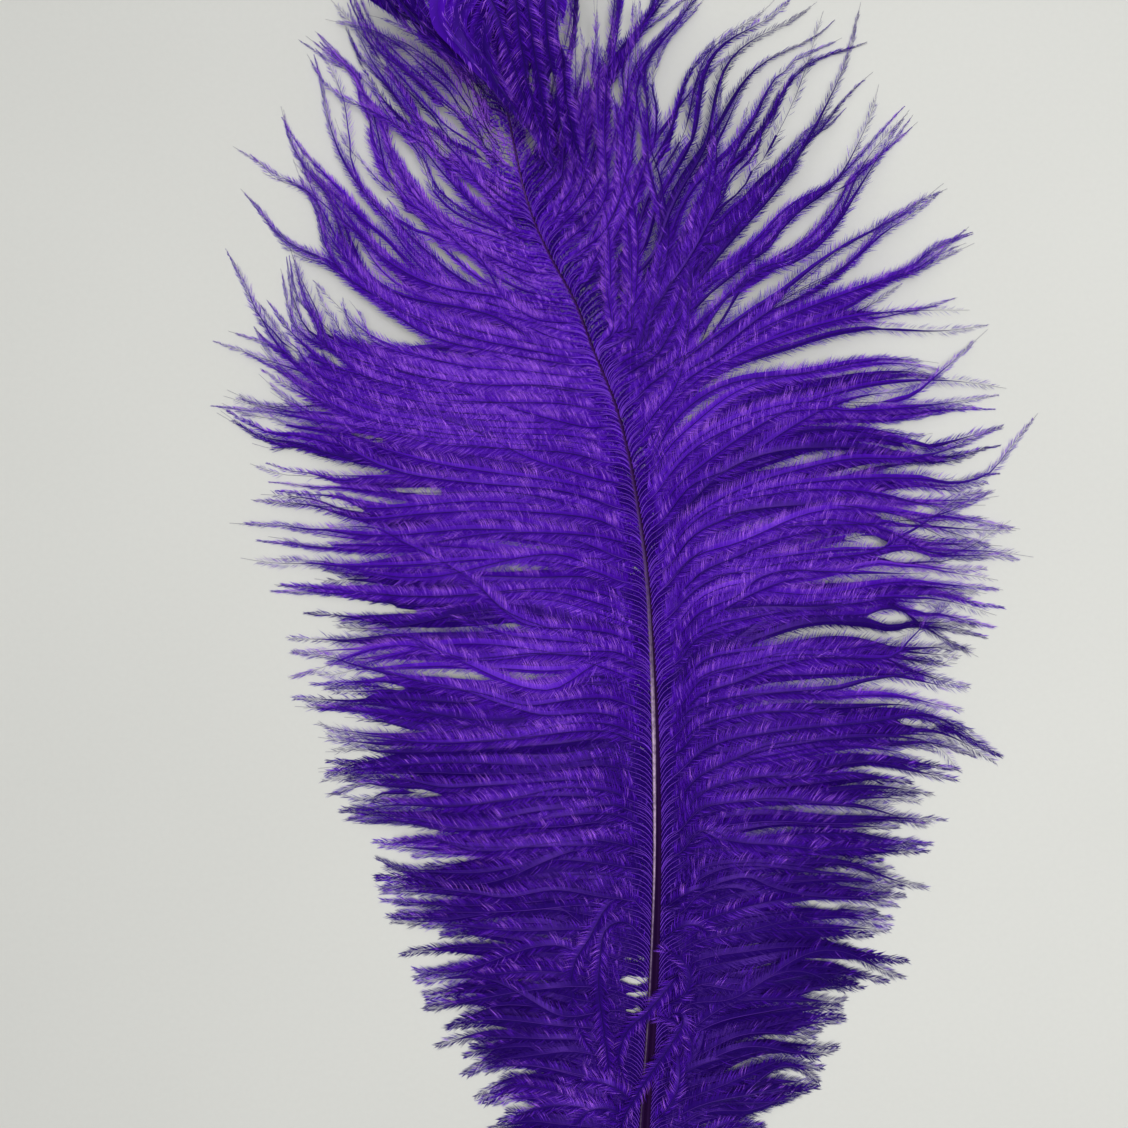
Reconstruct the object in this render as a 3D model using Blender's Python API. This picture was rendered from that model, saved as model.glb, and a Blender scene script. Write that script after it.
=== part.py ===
"""Ostrich feather, lying flat with its grooved face up and its tip curled over.

Three closed solids: the shaft, and the left and right vanes. Each vane is one
sheet of locks that part toward the rim. Lengths in the tables are millimetres
in the plane of the feather: the quill's cut end is at y = 0 and the feather
runs along +Y. Run this file in Blender and it builds the feather in metres.
"""

import math

import bmesh
import bpy
import numpy as np
from mathutils import Vector

# ---- driving dimensions, mm -------------------------------------------------
CENTRE = (-6.0, 151.4)  # table point that becomes the origin
ROOT_GAP = 0.3          # clear space between the shaft and a vane's inner edge
LOCK_THICK = 2.3        # thickest part of a lock
VALLEY_THICK = 0.9      # thickness between two locks
EDGE_THICK = 0.5        # thickness at the shaft
VALLEY_DROP = 0.7       # how far the sheet sinks between two locks
START_ANGLE = 52.0      # degrees between the shaft and a lock where it starts
START_LEN = 3.5         # length of that first straight stretch
LOCK_LIFTS = (0.0, 0.9, 0.3, 0.7)  # how far neighbouring locks ride up, in turn
LAST_ROOT = 0.8         # how far before the shaft's tip the last lock starts
SHAFT_STEP = 0.5        # sampling of the shaft's line
LOCK_STEP = 0.7         # sampling of a lock's line

# Where the outline was read from: raised points look further out than they are.
EYE = (-18.2, 172.8)    # the table point straight below the eye
EYE_HEIGHT = 314.0      # the eye's height above the table

# Shares of a lock's length, or of its width where they say so.
VANE_HUMP = 0.062       # rise of a lock's middle
THICK_FROM = 0.22       # where a lock has its full thickness
THIN_FROM = 0.42        # how far before its tip it starts to thin
THIN_POWER = 0.7        # how bluntly it thins
VALLEY_LEVELS = 0.3     # how far before the tips a valley starts to level out
EDGE_HOLDS = 0.4        # how far out a valley still bends to the shaft's edge
FORK_POWER = 0.6        # how bluntly a lock narrows once it stands alone
FORK_SPREAD = 0.9       # width of a lock just past the parting
FIRST_MARGIN = 0.8      # width of the vane's first margin beside its half lock
LAST_MARGIN = 0.45      # the same at the shaft's tip

# Centre line of the shaft, from the cut end to the tip: x, y, height.
SHAFT = [
    (-4.3, 0.0, 1.45), (-3.9, 12.0, 1.6), (-3.2, 34.0, 1.5), (-2.1, 60.0, 1.25),
    (-0.6, 82.6, 1.1), (0.3, 105.6, 1.0), (0.4, 121.8, 0.95), (-0.1, 145.0, 0.9),
    (-0.9, 161.4, 0.85), (-1.8, 172.8, 0.85), (-3.4, 184.3, 0.95),
    (-5.5, 195.8, 1.2), (-8.0, 205.0, 1.6), (-12.6, 216.4, 2.3),
    (-16.1, 225.6, 3.1), (-20.5, 233.6, 3.9), (-24.2, 241.5, 4.9),
    (-26.5, 248.8, 6.0), (-28.2, 256.8, 7.6), (-30.2, 266.7, 10.6),
    (-32.4, 276.4, 14.6), (-34.8, 286.0, 19.6), (-36.6, 293.6, 25.0),
    (-37.4, 299.4, 30.5), (-36.0, 301.6, 35.2), (-33.2, 299.8, 38.2),
    (-30.6, 294.6, 39.0), (-28.4, 288.6, 37.6), (-26.8, 283.4, 35.0),
]

# Shaft half width along its length: distance from the cut end, half width.
SHAFT_HALF = [
    (0.0, 1.0), (2.0, 1.35), (9.0, 1.6), (34.0, 1.5), (60.0, 1.2), (90.0, 1.1),
    (110.0, 0.98), (145.0, 0.92), (172.0, 0.72), (200.0, 0.52), (230.0, 0.42),
    (257.0, 0.34), (290.0, 0.28), (345.0, 0.24),
]

# Locks from the quill up: distance of the root along the shaft, then points
# out to the lock's tip. Two numbers are x, y; three are x, y, height.
LEFT_LOCKS = [
    (34, (-6.5, 37.5), (-10, 40), (-15, 42.5)),
    (40, (-8, 44.5), (-15, 47), (-23, 49)),
    (47, (-9, 51.5), (-18, 54), (-29, 55)),
    (53, (-9, 57.5), (-20, 60), (-34, 60)),
    (58, (-9, 62.5), (-20, 65.5), (-28, 66), (-35, 63)),
    (63, (-9, 68), (-20, 70.5), (-30, 71), (-37.5, 68.5)),
    (68.5, (-9, 73), (-20, 75), (-32, 75.2), (-41, 72.7)),
    (74, (-9, 78.5), (-20, 80.2), (-34, 80.4), (-45, 77.3)),
    (80, (-9, 84.5), (-20, 86.5), (-33, 87), (-45.8, 86.5)),
    (85.5, (-9, 90), (-22, 93), (-35, 92.8), (-48, 90)),
    (90.5, (-9, 95), (-22, 97.3), (-37, 97.2), (-51.5, 95)),
    (95.5, (-9, 100), (-24, 101), (-40, 100), (-52.5, 100)),
    (100, (-9, 104), (-25, 104), (-42, 103.6), (-54.5, 103.5)),
    (104.5, (-9, 108.5), (-25, 107.8), (-42, 107.5), (-55.5, 107.8)),
    (109, (-9, 113), (-20, 113.5), (-35, 111.8), (-56, 112)),
    (113, (-9, 117.5), (-22, 117.3), (-38, 115.8), (-55.5, 116.5)),
    (118, (-9, 123), (-22, 122), (-38, 120), (-62.5, 121.8)),
    (122, (-9, 127), (-20, 127.6), (-36, 125), (-63, 125)),
    (126.5, (-9, 131.3), (-24, 131.5), (-45, 129.8), (-66, 128.5)),
    (131, (-9, 135.7), (-24, 135.4), (-46, 133.6), (-69, 134)),
    (135.5, (-9, 140.5), (-22, 140), (-44, 137.5), (-67, 139)),
    (140, (-9, 144.8), (-25, 143.8), (-50, 143.5), (-72.4, 144.6)),
    (144.5, (-9, 149.3), (-25, 148.8), (-50, 148), (-72.3, 148.8)),
    (149.5, (-9, 154), (-25, 154.6), (-48, 154.6), (-73.3, 155.2)),
    (154.5, (-9.5, 159), (-25, 160.3), (-48, 160.3), (-74.4, 160.8)),
    (160, (-10, 164.5), (-26, 166.6), (-50, 166), (-76, 167.6)),
    (165, (-11, 170), (-28, 172.3), (-52, 171.8), (-78, 173)),
    (170, (-12, 175.3), (-30, 178.2), (-54, 177.8), (-80, 179.4)),
    (175.5, (-13, 181), (-30, 184), (-55, 183.2), (-79, 186)),
    (181, (-14, 186.3), (-32, 189), (-56, 189), (-80, 192.5)),
    (186.5, (-15, 191), (-34, 194.4), (-58, 196.6), (-76, 199.8), (-88, 204.5)),
    (191.5, (-16, 196), (-36, 200), (-60, 203.8), (-82.5, 209.5)),
    (197, (-17, 201.3), (-37, 205.8), (-60, 210), (-78, 213.8), (-87.5, 218)),
    (202.5, (-18, 206.5), (-38, 211), (-58, 214.8), (-72, 219), (-81, 224)),
    (208, (-19.5, 211.2), (-39, 216), (-56, 219.8), (-66.5, 225), (-73, 234)),
    (213.5, (-21, 216), (-40, 220.6), (-56, 226.5), (-66, 237), (-72.5, 254)),
    (219, (-23, 220.7), (-42, 226.5), (-55.5, 234.5), (-63.5, 245.5), (-73.5, 264)),
    (225, (-25.5, 226), (-42, 233), (-53.5, 242.5), (-61, 254), (-69.7, 274.5)),
    (231, (-28, 232), (-42, 240), (-51.5, 250.5), (-59, 262), (-70, 278.5)),
    (237.5, (-30.5, 239), (-42, 248), (-50.5, 258.5), (-58.5, 269), (-68, 282.5)),
    (244, (-32.5, 246), (-42, 255.5), (-50, 265.5), (-58, 275), (-65, 286.5)),
    (251, (-34, 254), (-42, 263), (-50, 271.5), (-57, 279.5), (-63, 291)),
    (259, (-35.5, 264, 11), (-43.5, 273, 13), (-51.5, 283, 12), (-59, 296, 7)),
    (268, (-37.5, 274, 16), (-44.5, 283.5, 18), (-50.5, 293, 16), (-54, 303, 10)),
    (278, (-40, 284.5, 21), (-45.5, 293, 23), (-49, 301, 20), (-50, 308, 14)),
    (288, (-42, 294.5, 26.5), (-47, 302, 28), (-50.5, 307, 25.5), (-53, 311, 20)),
    (297, (-44.5, 299.5, 32), (-51, 302.5, 33), (-57.5, 303, 29.5), (-64, 301, 23)),
    (305, (-43.5, 300.5, 38), (-50.5, 298.5, 38.5), (-57, 294.5, 35), (-62, 289, 28)),
    (311, (-40, 295.5, 42), (-46.5, 290.5, 41.5), (-52, 285, 37), (-56, 279, 30)),
    (317, (-36, 288.5, 42), (-41, 282.5, 40.5), (-45, 277, 36), (-48, 271.5, 29)),
    (323, (-31.8, 281, 39), (-34.5, 275, 36.5), (-37, 270, 32), (-38.5, 265.5, 26)),
]

RIGHT_LOCKS = [
    (34, (1, 37.5), (5, 40), (9.5, 42)),
    (40, (3, 44.5), (8, 47), (14, 48.5)),
    (46.5, (4.5, 51), (11, 53.5), (18, 55)),
    (52, (6, 57), (14, 60), (24, 61.5)),
    (57, (7, 62), (16, 65), (25, 66.6), (32.5, 66.8)),
    (62, (8, 67.5), (17, 71), (26, 72.5), (33.5, 72)),
    (67, (8, 72.5), (18, 76), (28, 77.4), (37, 78)),
    (72, (8, 77.5), (18, 81), (28, 82.8), (38, 82.2)),
    (76.5, (9, 82.5), (20, 86), (31, 87.6), (41, 87.6)),
    (81, (9, 87), (21, 90.3), (34, 91.6), (48.7, 89.7)),
    (85, (9, 91.3), (22, 94.8), (36, 95.6), (51, 93.2)),
    (89, (9, 95.5), (22, 98.7), (34, 99.6), (46.8, 98.5)),
    (93, (9, 100), (22, 103), (34, 103.8), (47.6, 102.6)),
    (97, (9, 104.4), (22, 107.3), (36, 108), (51, 106.7)),
    (101, (9, 108.7), (22, 111.8), (38, 112.4), (55.5, 110.8)),
    (105.5, (9, 113.2), (22, 116.2), (38, 116.8), (55.3, 115.2)),
    (110, (9, 118), (22, 120.8), (38, 121.3), (56.8, 120.3)),
    (114.5, (9, 122.8), (22, 125.4), (40, 126), (60, 125.8)),
    (119, (9, 127.2), (22, 130.2), (40, 131.4), (61.5, 129.8)),
    (123.5, (9, 131.8), (22, 135.6), (40, 137.2), (54, 136.6), (62, 131.8)),
    (128, (9, 136.4), (22, 140.2), (42, 141.6), (57, 140.8), (70, 134.6)),
    (132, (9, 141), (22, 144.6), (40, 145.8), (62, 143.4)),
    (136, (9, 145.4), (22, 149.2), (40, 150), (62.6, 147.6)),
    (140.5, (9, 150.2), (22, 154), (40, 155), (65.8, 152)),
    (145, (9, 154.8), (22, 158.6), (42, 160.2), (66.6, 157.6)),
    (149.5, (9, 159.6), (24, 163.8), (45, 165.8), (68.8, 162.2)),
    (154, (9, 164.4), (24, 168.8), (45, 171.2), (61, 169.8), (72.6, 166)),
    (159, (9, 169.6), (24, 174), (45, 176), (62, 175.2), (76, 175)),
    (164, (8.5, 175), (24, 179.8), (43, 181.8), (58, 180.2), (74.5, 180)),
    (169, (8, 180.2), (24, 185.4), (42, 187), (56, 186), (68.5, 186.6)),
    (173.5, (8, 185), (23, 190.6), (42, 192.2), (58, 192.2), (69.5, 193.6)),
    (178, (7, 189.6), (21, 196), (40, 198), (57, 197.6), (70, 200.4)),
    (182.5, (6, 194.4), (19, 201.4), (36, 204.2), (53, 204.2), (68, 204.6)),
    (187, (4.5, 199), (17, 207), (33, 210.4), (51, 211.4), (70, 209)),
    (192, (3, 203.8), (14, 212.4), (29, 217.6), (46, 220.6), (66, 222)),
    (197, (2, 208.8), (12, 218), (26, 224.6), (42, 229.6), (64, 238.6)),
    (202, (0.5, 213.2), (10, 223), (23, 230.8), (38, 237.6), (58, 249)),
    (207, (-1, 217.4), (8, 227.8), (20, 237), (34, 246.6), (51, 263.6)),
    (212, (-3, 221), (5.5, 232), (17, 243.4), (29, 254), (44.9, 269.6)),
    (217, (-5.5, 225), (3, 237), (13.5, 249.4), (24.5, 261), (41.5, 279)),
    (222, (-8, 229.5), (-0.5, 242), (9, 255), (18.5, 267), (34.5, 284)),
    (227, (-10.5, 234), (-4.5, 246), (3.5, 259), (11.5, 272), (26.5, 290)),
    (232.5, (-13, 239), (-8, 251), (-1, 264), (5, 277), (16.5, 295)),
    (238.5, (-16, 244.5), (-11.8, 256), (-6.5, 268.5), (-2.5, 282), (6.5, 299)),
    (245, (-18.7, 251), (-15, 262), (-11.5, 274), (-9.2, 286), (-3.5, 302)),
    (252, (-21, 258, 10), (-18.3, 268, 12), (-16, 279, 11), (-13.5, 303, 5)),
    (260, (-23.3, 266, 14), (-21, 276, 16), (-20, 287, 15), (-21, 305, 9)),
    (269, (-25.8, 276, 19), (-23.5, 286, 22), (-23, 296, 21), (-26, 308, 15)),
    (279, (-28, 286, 24.5), (-25, 296, 28), (-23, 303, 27), (-22, 311, 22)),
    (289, (-30, 295, 29.5), (-26, 302.5, 33), (-21.5, 306, 32.5), (-15, 309, 29)),
    (297, (-30.5, 299.5, 35), (-25, 303.5, 38), (-18.5, 303.5, 37), (-9, 300, 32)),
    (304, (-29.5, 300, 39.5), (-23, 300, 41), (-15.5, 296, 38), (-7, 288, 31)),
    (310, (-26.5, 295, 42), (-20, 291, 41), (-13.5, 284, 36), (-8.5, 273, 27)),
    (316.5, (-24, 288, 41), (-18.5, 281, 38.5), (-14.5, 271, 33), (-13, 259, 25)),
    (323, (-23.6, 280, 37.5), (-20.5, 272, 34.5), (-18.6, 262.5, 29), (-18.5, 252.5, 22)),
]

# Stations along a lock, as shares of its length.
STEPS = np.array([0.0, 0.09, 0.22, 0.40, 0.58, 0.70, 0.80, 0.90, 1.0])
LAST = len(STEPS) - 1

# Neighbours part sooner where their tips stand further apart: distance between
# tips in mm, and the station where the two locks part.
PARTING = [(9.5, 4), (5.2, 5), (0.0, 6)]

# Cross-section of the shaft as shares of its half width: across, up. Its first
# two points are the flat underside, and GROOVE is the point that sinks to make
# the groove along the feather's upper face.
SECTION = [
    (-0.55, -1.0), (0.55, -1.0), (0.95, -0.45), (1.0, 0.35), (0.7, 0.95),
    (0.3, 0.95), (0.0, 1.0), (-0.3, 0.95), (-0.7, 0.95), (-1.0, 0.35),
    (-0.95, -0.45),
]
GROOVE = 6
GROOVE_DEPTH = 0.45     # share of the half width
GROOVE_STARTS = (28.0, 42.0)
GROOVE_ENDS = (232.0, 262.0)
QUILL_STATIONS = [0.0, 1.2, 4.0, 12.0, 24.0, 34.0]
FLAT_STATIONS = np.linspace(40.0, 176.0, 9)   # this stretch lies flat on the table
BEND_STATIONS = np.linspace(184.0, 250.0, 9)
CURL_STATIONS = 16

SHAFT_COLOUR = (0.16, 0.07, 0.26)
VANE_COLOUR = (0.09, 0.03, 0.33)


def clear_scene():
    """Empties the scene."""
    for ob in list(bpy.data.objects):
        bpy.data.objects.remove(ob, do_unlink=True)


def drawn_in(point):
    """Moves a raised point in toward the eye's foot, from where it was seen."""
    x, y, z = point
    near = (EYE_HEIGHT - z) / EYE_HEIGHT
    return np.array([EYE[0] + (x - EYE[0]) * near, EYE[1] + (y - EYE[1]) * near, z])


def smooth_line(points, step):
    """A smooth line through the points, sampled about every `step` mm."""
    pts = [np.asarray(p, float) for p in points]
    pts = [2 * pts[0] - pts[1]] + pts + [2 * pts[-1] - pts[-2]]
    out = []
    for a, b, c, d in zip(pts, pts[1:], pts[2:], pts[3:]):
        before, here, after = [np.linalg.norm(q - p) ** 0.5 for p, q in ((a, b), (b, c), (c, d))]
        leave = ((b - a) / before - (c - a) / (before + here) + (c - b) / here) * here
        reach = ((c - b) / here - (d - b) / (here + after) + (d - c) / after) * here
        count = max(2, int(np.linalg.norm(c - b) / step))
        for t in np.arange(count) / count:
            out.append(
                (2 * t**3 - 3 * t**2 + 1) * b
                + (t**3 - 2 * t**2 + t) * leave
                + (3 * t**2 - 2 * t**3) * c
                + (t**3 - t**2) * reach
            )
    out.append(pts[-2])
    return np.array(out)


def lengths(line):
    """Distance along the line at each of its points."""
    return np.concatenate([[0.0], np.cumsum(np.linalg.norm(np.diff(line, axis=0), axis=1))])


def along(line, wanted, dist):
    """The line's points, or a field on it, at the wanted distances."""
    return np.stack([np.interp(wanted, dist, line[:, k]) for k in range(3)], 1)


def unit(field):
    """Each row of vectors made one long."""
    return field / (np.linalg.norm(field, axis=-1, keepdims=True) + 1e-9)


def ramp(value, start, end):
    """0 before start, 1 after end, straight between."""
    return min(1.0, max(0.0, (value - start) / (end - start)))


def placed(point):
    """A table point in mm as a place in metres; nothing goes below the table."""
    x, y, z = point
    return Vector((x - CENTRE[0], y - CENTRE[1], max(z, 0.0))) / 1000


def new_object(name, bm, colour, roughness):
    """Turns a bmesh into a named object with its own material."""
    bmesh.ops.recalc_face_normals(bm, faces=bm.faces[:])
    mesh = bpy.data.meshes.new(name)
    bm.to_mesh(mesh)
    bm.free()
    mat = bpy.data.materials.new(name + "_material")
    mat.use_nodes = True
    shader = mat.node_tree.nodes["Principled BSDF"]
    shader.inputs["Base Color"].default_value = (*colour, 1.0)
    shader.inputs["Roughness"].default_value = roughness
    mesh.materials.append(mat)
    ob = bpy.data.objects.new(name, mesh)
    bpy.context.scene.collection.objects.link(ob)
    return ob


class Shaft:
    """The shaft's centre line, with a frame that turns as little as it can."""

    def __init__(self):
        self.line = smooth_line([drawn_in(p) for p in SHAFT], SHAFT_STEP)
        self.dist = lengths(self.line)
        self.length = self.dist[-1]
        self.tangent = unit(np.gradient(self.line, axis=0))
        self.side = np.zeros_like(self.tangent)
        side = np.array([1.0, 0.0, 0.0])
        for i, tangent in enumerate(self.tangent):
            side = unit(side - tangent * (side @ tangent))
            self.side[i] = side
        self.up = np.cross(self.side, self.tangent)

    def at(self, s):
        """Point, tangent, side and up at distance s from the cut end."""
        point = along(self.line, [s], self.dist)[0]
        axes = [unit(along(f, [s], self.dist)[0]) for f in (self.tangent, self.side, self.up)]
        return point, *axes

    def half(self, s):
        """Half width at distance s."""
        return float(np.interp(s, *zip(*SHAFT_HALF)))

    def edge(self, s, sign):
        """Where a vane starts, just clear of the shaft's side."""
        point, _, side, _ = self.at(s)
        return point + side * sign * (self.half(s) + ROOT_GAP)

    def ring(self, s):
        """The cross-section's points at distance s."""
        centre, _, side, up = self.at(s)
        sunk = GROOVE_DEPTH * ramp(s, *GROOVE_STARTS) * (1 - ramp(s, *GROOVE_ENDS))
        flat = FLAT_STATIONS[0] <= s <= FLAT_STATIONS[-1]
        ring = []
        for k, (across, rise) in enumerate(SECTION):
            rise -= sunk if k == GROOVE else 0.0
            point = centre + (side * across + up * rise) * self.half(s)
            if flat and k < 2:
                point[2] = 0.0
            ring.append(point)
        return ring


def build_shaft(shaft):
    """The quill and the grooved shaft as one lofted solid."""
    curl = np.linspace(BEND_STATIONS[-1] + 7.0, shaft.length, CURL_STATIONS)
    stations = [*QUILL_STATIONS, *FLAT_STATIONS, *BEND_STATIONS, *curl]
    bm = bmesh.new()
    rings = [[bm.verts.new(placed(p)) for p in shaft.ring(s)] for s in stations]
    count = len(SECTION)
    for a, b in zip(rings, rings[1:]):
        for k in range(count):
            bm.faces.new((a[k], a[(k + 1) % count], b[(k + 1) % count], b[k]))
    bm.faces.new(rings[0])
    bm.faces.new(rings[-1])
    return new_object("shaft", bm, SHAFT_COLOUR, 0.4)


def lock_line(shaft, root_s, points, sign):
    """The middle line of one lock, from its root on the shaft to its tip."""
    _, tangent, side, _ = shaft.at(root_s)
    root = shaft.edge(root_s, sign)
    turn = math.radians(START_ANGLE)
    start = root + (side * sign * math.sin(turn) + tangent * math.cos(turn)) * START_LEN
    flat = [root[:2]] + [np.array(p[:2], float) for p in points]
    run = np.cumsum([np.linalg.norm(b - a) for a, b in zip(flat, flat[1:])])
    line = [root, start]
    for p, far in zip(points, run / run[-1]):
        arch = VANE_HUMP * run[-1] * math.sin(math.pi * far)
        height = p[2] if len(p) == 3 else root[2] * (1 - far) + arch
        line.append(drawn_in((p[0], p[1], height)))
    return smooth_line(line, LOCK_STEP)


class Vane:
    """One vane: a sheet of locks, as rows of ridge and valley points."""

    def __init__(self, shaft, locks, sign):
        self.sign = sign
        self.roots = [min(lock[0], shaft.length - LAST_ROOT) for lock in locks]
        self.count = len(locks)
        self.ridges = self.middle_lines(shaft, locks)
        self.ups = self.sheet_ups(shaft)
        body = np.sin(math.pi * STEPS)[:, None]
        for i, lift in enumerate(LOCK_LIFTS[i % len(LOCK_LIFTS)] for i in range(self.count)):
            self.ridges[i] += self.ups[i] * body * lift
        self.find_valleys(shaft)

    def middle_lines(self, shaft, locks):
        """The locks' middle lines at the stations."""
        rows = []
        for root_s, lock in zip(self.roots, locks):
            line = lock_line(shaft, root_s, lock[1:], self.sign)
            dist = lengths(line)
            rows.append(along(line, STEPS * dist[-1], dist))
        return np.array(rows)

    def sheet_ups(self, shaft):
        """The sheet's upward direction at each station, from its own slope."""
        ups = np.zeros_like(self.ridges)
        for i in range(self.count):
            across = self.ridges[min(i + 1, self.count - 1)] - self.ridges[max(i - 1, 0)]
            ups[i] = np.cross(np.gradient(self.ridges[i], axis=0), across) * self.sign
        ups[:, 0] = [shaft.at(s)[3] for s in self.roots]
        return unit(ups)

    def find_valleys(self, shaft):
        """The lines between neighbours, and where neighbours part."""
        thicken = np.minimum(1.0, STEPS / THICK_FROM)
        sink = VALLEY_DROP * np.minimum(thicken, (1 - STEPS) / VALLEY_LEVELS)
        hold = np.clip(1 - STEPS / EDGE_HOLDS, 0, 1) ** 2
        self.valleys = np.zeros((self.count + 1, LAST + 1, 3))
        self.valley_ups = np.zeros_like(self.valleys)
        self.parts_at = [PARTING[0][1]] * (self.count + 1)
        for i in range(1, self.count):
            low, high = self.ridges[i - 1], self.ridges[i]
            up = unit(self.ups[i - 1] + self.ups[i])
            line = (low + high) / 2 - up * sink[:, None]
            # At the shaft the valley starts on the shaft's own edge.
            start = shaft.edge((self.roots[i - 1] + self.roots[i]) / 2, self.sign)
            self.valleys[i] = line + (start - line[0]) * hold[:, None]
            self.valley_ups[i] = up
            apart = np.linalg.norm(low[-1] - high[-1])
            self.parts_at[i] = next(station for limit, station in PARTING if apart >= limit)
        first, last = self.ridges[0], self.ridges[-1]
        self.valleys[0] = first - (self.valleys[1] - first) * FIRST_MARGIN
        self.valleys[-1] = last - (self.valleys[-2] - last) * LAST_MARGIN
        self.valleys[-1][0] = shaft.edge(self.roots[-1] + LAST_ROOT * 0.8, self.sign)
        self.valleys[..., 2] = np.maximum(self.valleys[..., 2], EDGE_THICK / 2)

    def free_edge(self, i, beside):
        """Lock i's own edge on one side, from the parting nearly to its tip."""
        split = self.parts_at[beside]
        offset = self.valleys[beside, split] - self.ridges[i, split]
        points = []
        for k in range(split + 1, LAST):
            alone = (1 - STEPS[k]) / (1 - STEPS[split])
            points.append(self.ridges[i, k] + offset * alone**FORK_POWER * FORK_SPREAD)
        return points


def build_vane(name, vane):
    """The vane's ridges and valleys as one closed solid."""
    bm = bmesh.new()

    def single(point):
        return (bm.verts.new(placed(point)),) * 2

    def pair(point, up, thick):
        return tuple(bm.verts.new(placed(point + up * half)) for half in (thick / 2, -thick / 2))

    def face(*corners):
        kept = list(dict.fromkeys(corners))
        if len(kept) >= 3:
            bm.faces.new(kept)

    thicken = np.minimum(1.0, STEPS / THICK_FROM)
    thin = np.clip((1 - STEPS) / THIN_FROM, 0, 1) ** THIN_POWER
    ridge_thick = (EDGE_THICK + (LOCK_THICK - EDGE_THICK) * thicken) * thin
    valley_thick = EDGE_THICK + (VALLEY_THICK - EDGE_THICK) * thicken
    ridges = []
    for points, ups in zip(vane.ridges, vane.ups):
        row = [pair(points[k], ups[k], ridge_thick[k]) for k in range(LAST)]
        ridges.append(row + [single(points[LAST])])
    valleys = []
    for i, split in enumerate(vane.parts_at):
        points, ups = vane.valleys[i][: split + 1], vane.valley_ups[i]
        if i in (0, vane.count):
            valleys.append([single(p) for p in points])
        else:
            valleys.append([pair(p, u, t) for p, u, t in zip(points, ups, valley_thick)])

    for i, ridge in enumerate(ridges):
        for beside in (i, i + 1):
            split = vane.parts_at[beside]
            edge = valleys[beside] + [single(p) for p in vane.free_edge(i, beside)]
            edge.append(ridge[LAST])
            face(ridge[0][0], edge[0][0], edge[0][1], ridge[0][1])
            for k in range(LAST):
                for level in (0, 1):
                    face(ridge[k][level], ridge[k + 1][level], edge[k + 1][level], edge[k][level])
            face(edge[split][0], edge[split + 1][0], edge[split][1])
    return new_object(name, bm, VANE_COLOUR, 0.75)


def main():
    """Builds the feather."""
    clear_scene()
    shaft = Shaft()
    build_shaft(shaft)
    build_vane("left_vane", Vane(shaft, LEFT_LOCKS, -1))
    build_vane("right_vane", Vane(shaft, RIGHT_LOCKS, 1))


main()
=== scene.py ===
"""Looks of an ostrich feather: a grooved shaft, some 760 separate barbs with their
loose barbules, a pale floor, soft studio light and the camera.

Every barb is a thin tapering stem with two rows of fine bent blades, its barbules. The
barbs follow the same lock tables as the CAD solids, so they fill the same locks. Tables
are in millimetres in the plane of the feather, as in the part's source, except those
that say they are in the photograph's pixels.
"""

import math

import bpy
import numpy as np
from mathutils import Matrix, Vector


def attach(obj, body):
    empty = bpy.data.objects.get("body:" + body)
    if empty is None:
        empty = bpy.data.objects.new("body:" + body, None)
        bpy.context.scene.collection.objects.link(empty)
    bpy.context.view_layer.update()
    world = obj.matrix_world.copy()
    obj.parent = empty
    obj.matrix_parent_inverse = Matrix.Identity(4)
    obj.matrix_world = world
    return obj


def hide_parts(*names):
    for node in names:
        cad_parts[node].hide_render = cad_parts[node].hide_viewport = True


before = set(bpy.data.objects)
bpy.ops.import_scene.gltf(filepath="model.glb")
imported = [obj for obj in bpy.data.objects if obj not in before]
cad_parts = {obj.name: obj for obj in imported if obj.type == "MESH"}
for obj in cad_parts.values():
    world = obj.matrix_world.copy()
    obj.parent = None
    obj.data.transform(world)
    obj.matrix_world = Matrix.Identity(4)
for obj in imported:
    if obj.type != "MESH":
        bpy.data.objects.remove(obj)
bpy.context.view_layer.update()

bl_info = {
    "name": "Ostrich Feather",
    "version": (1, 0, 0),
    "blender": (4, 5, 0),
    "location": "3D View > Sidebar > Feather",
    "description": "Builds a dyed ostrich feather barb by barb, with its floor and light",
    "category": "Add Mesh",
}

MM = 0.001
SEED = 41

# ---- where things are, mm ----------------------------------------------------
CENTRE = (-6.0, 151.4)  # table point that is the origin of the row frame
EYE = (-18.2, 172.8)    # table point straight below the camera
EYE_HEIGHT = 314.0      # the camera's height
PIXEL = 0.2             # mm of the table that one pixel of the photograph shows
PHOTO_CORNER = (-131.0, 285.6)  # table point in the photograph's upper left corner
START_ANGLE = 52.0      # degrees between the shaft and a lock where it starts
START_LEN = 3.5         # how far a lock goes that way before it bends
VANE_HUMP = 0.062       # rise of a lock's middle, as a share of its length
LAST_ROOT = 0.8         # how far before the shaft's tip the last barb starts
FIRST_ROOT = 33.0       # distance of the first barb from the quill's cut end

# ---- how the feather changes along its shaft ----------------------------------
# Where a change starts and where it is complete, in mm from the cut end.
COMBED = (80, 150)      # barbules turn to lie the shaft's way, in order
SHAGGY_END = (84, 108)  # the lowest barbs, which clump, end
PITCH_EVEN = (80, 110)  # barbs stand less close together
GATHERED = (120, 215)   # barbs gather into locks, with the floor between them
POINTED = (135, 195)    # barbs narrow to a point, where lower ones end in a blunt tuft
ROPED = (175, 215)      # barbules wrap some barbs into smooth ropes
THINNED = (190, 235)    # barbules get shorter
RISEN = (225, 265)      # the outer halves of the barbs no longer sink to the floor
CURLED = (285, 305)     # the curl

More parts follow.
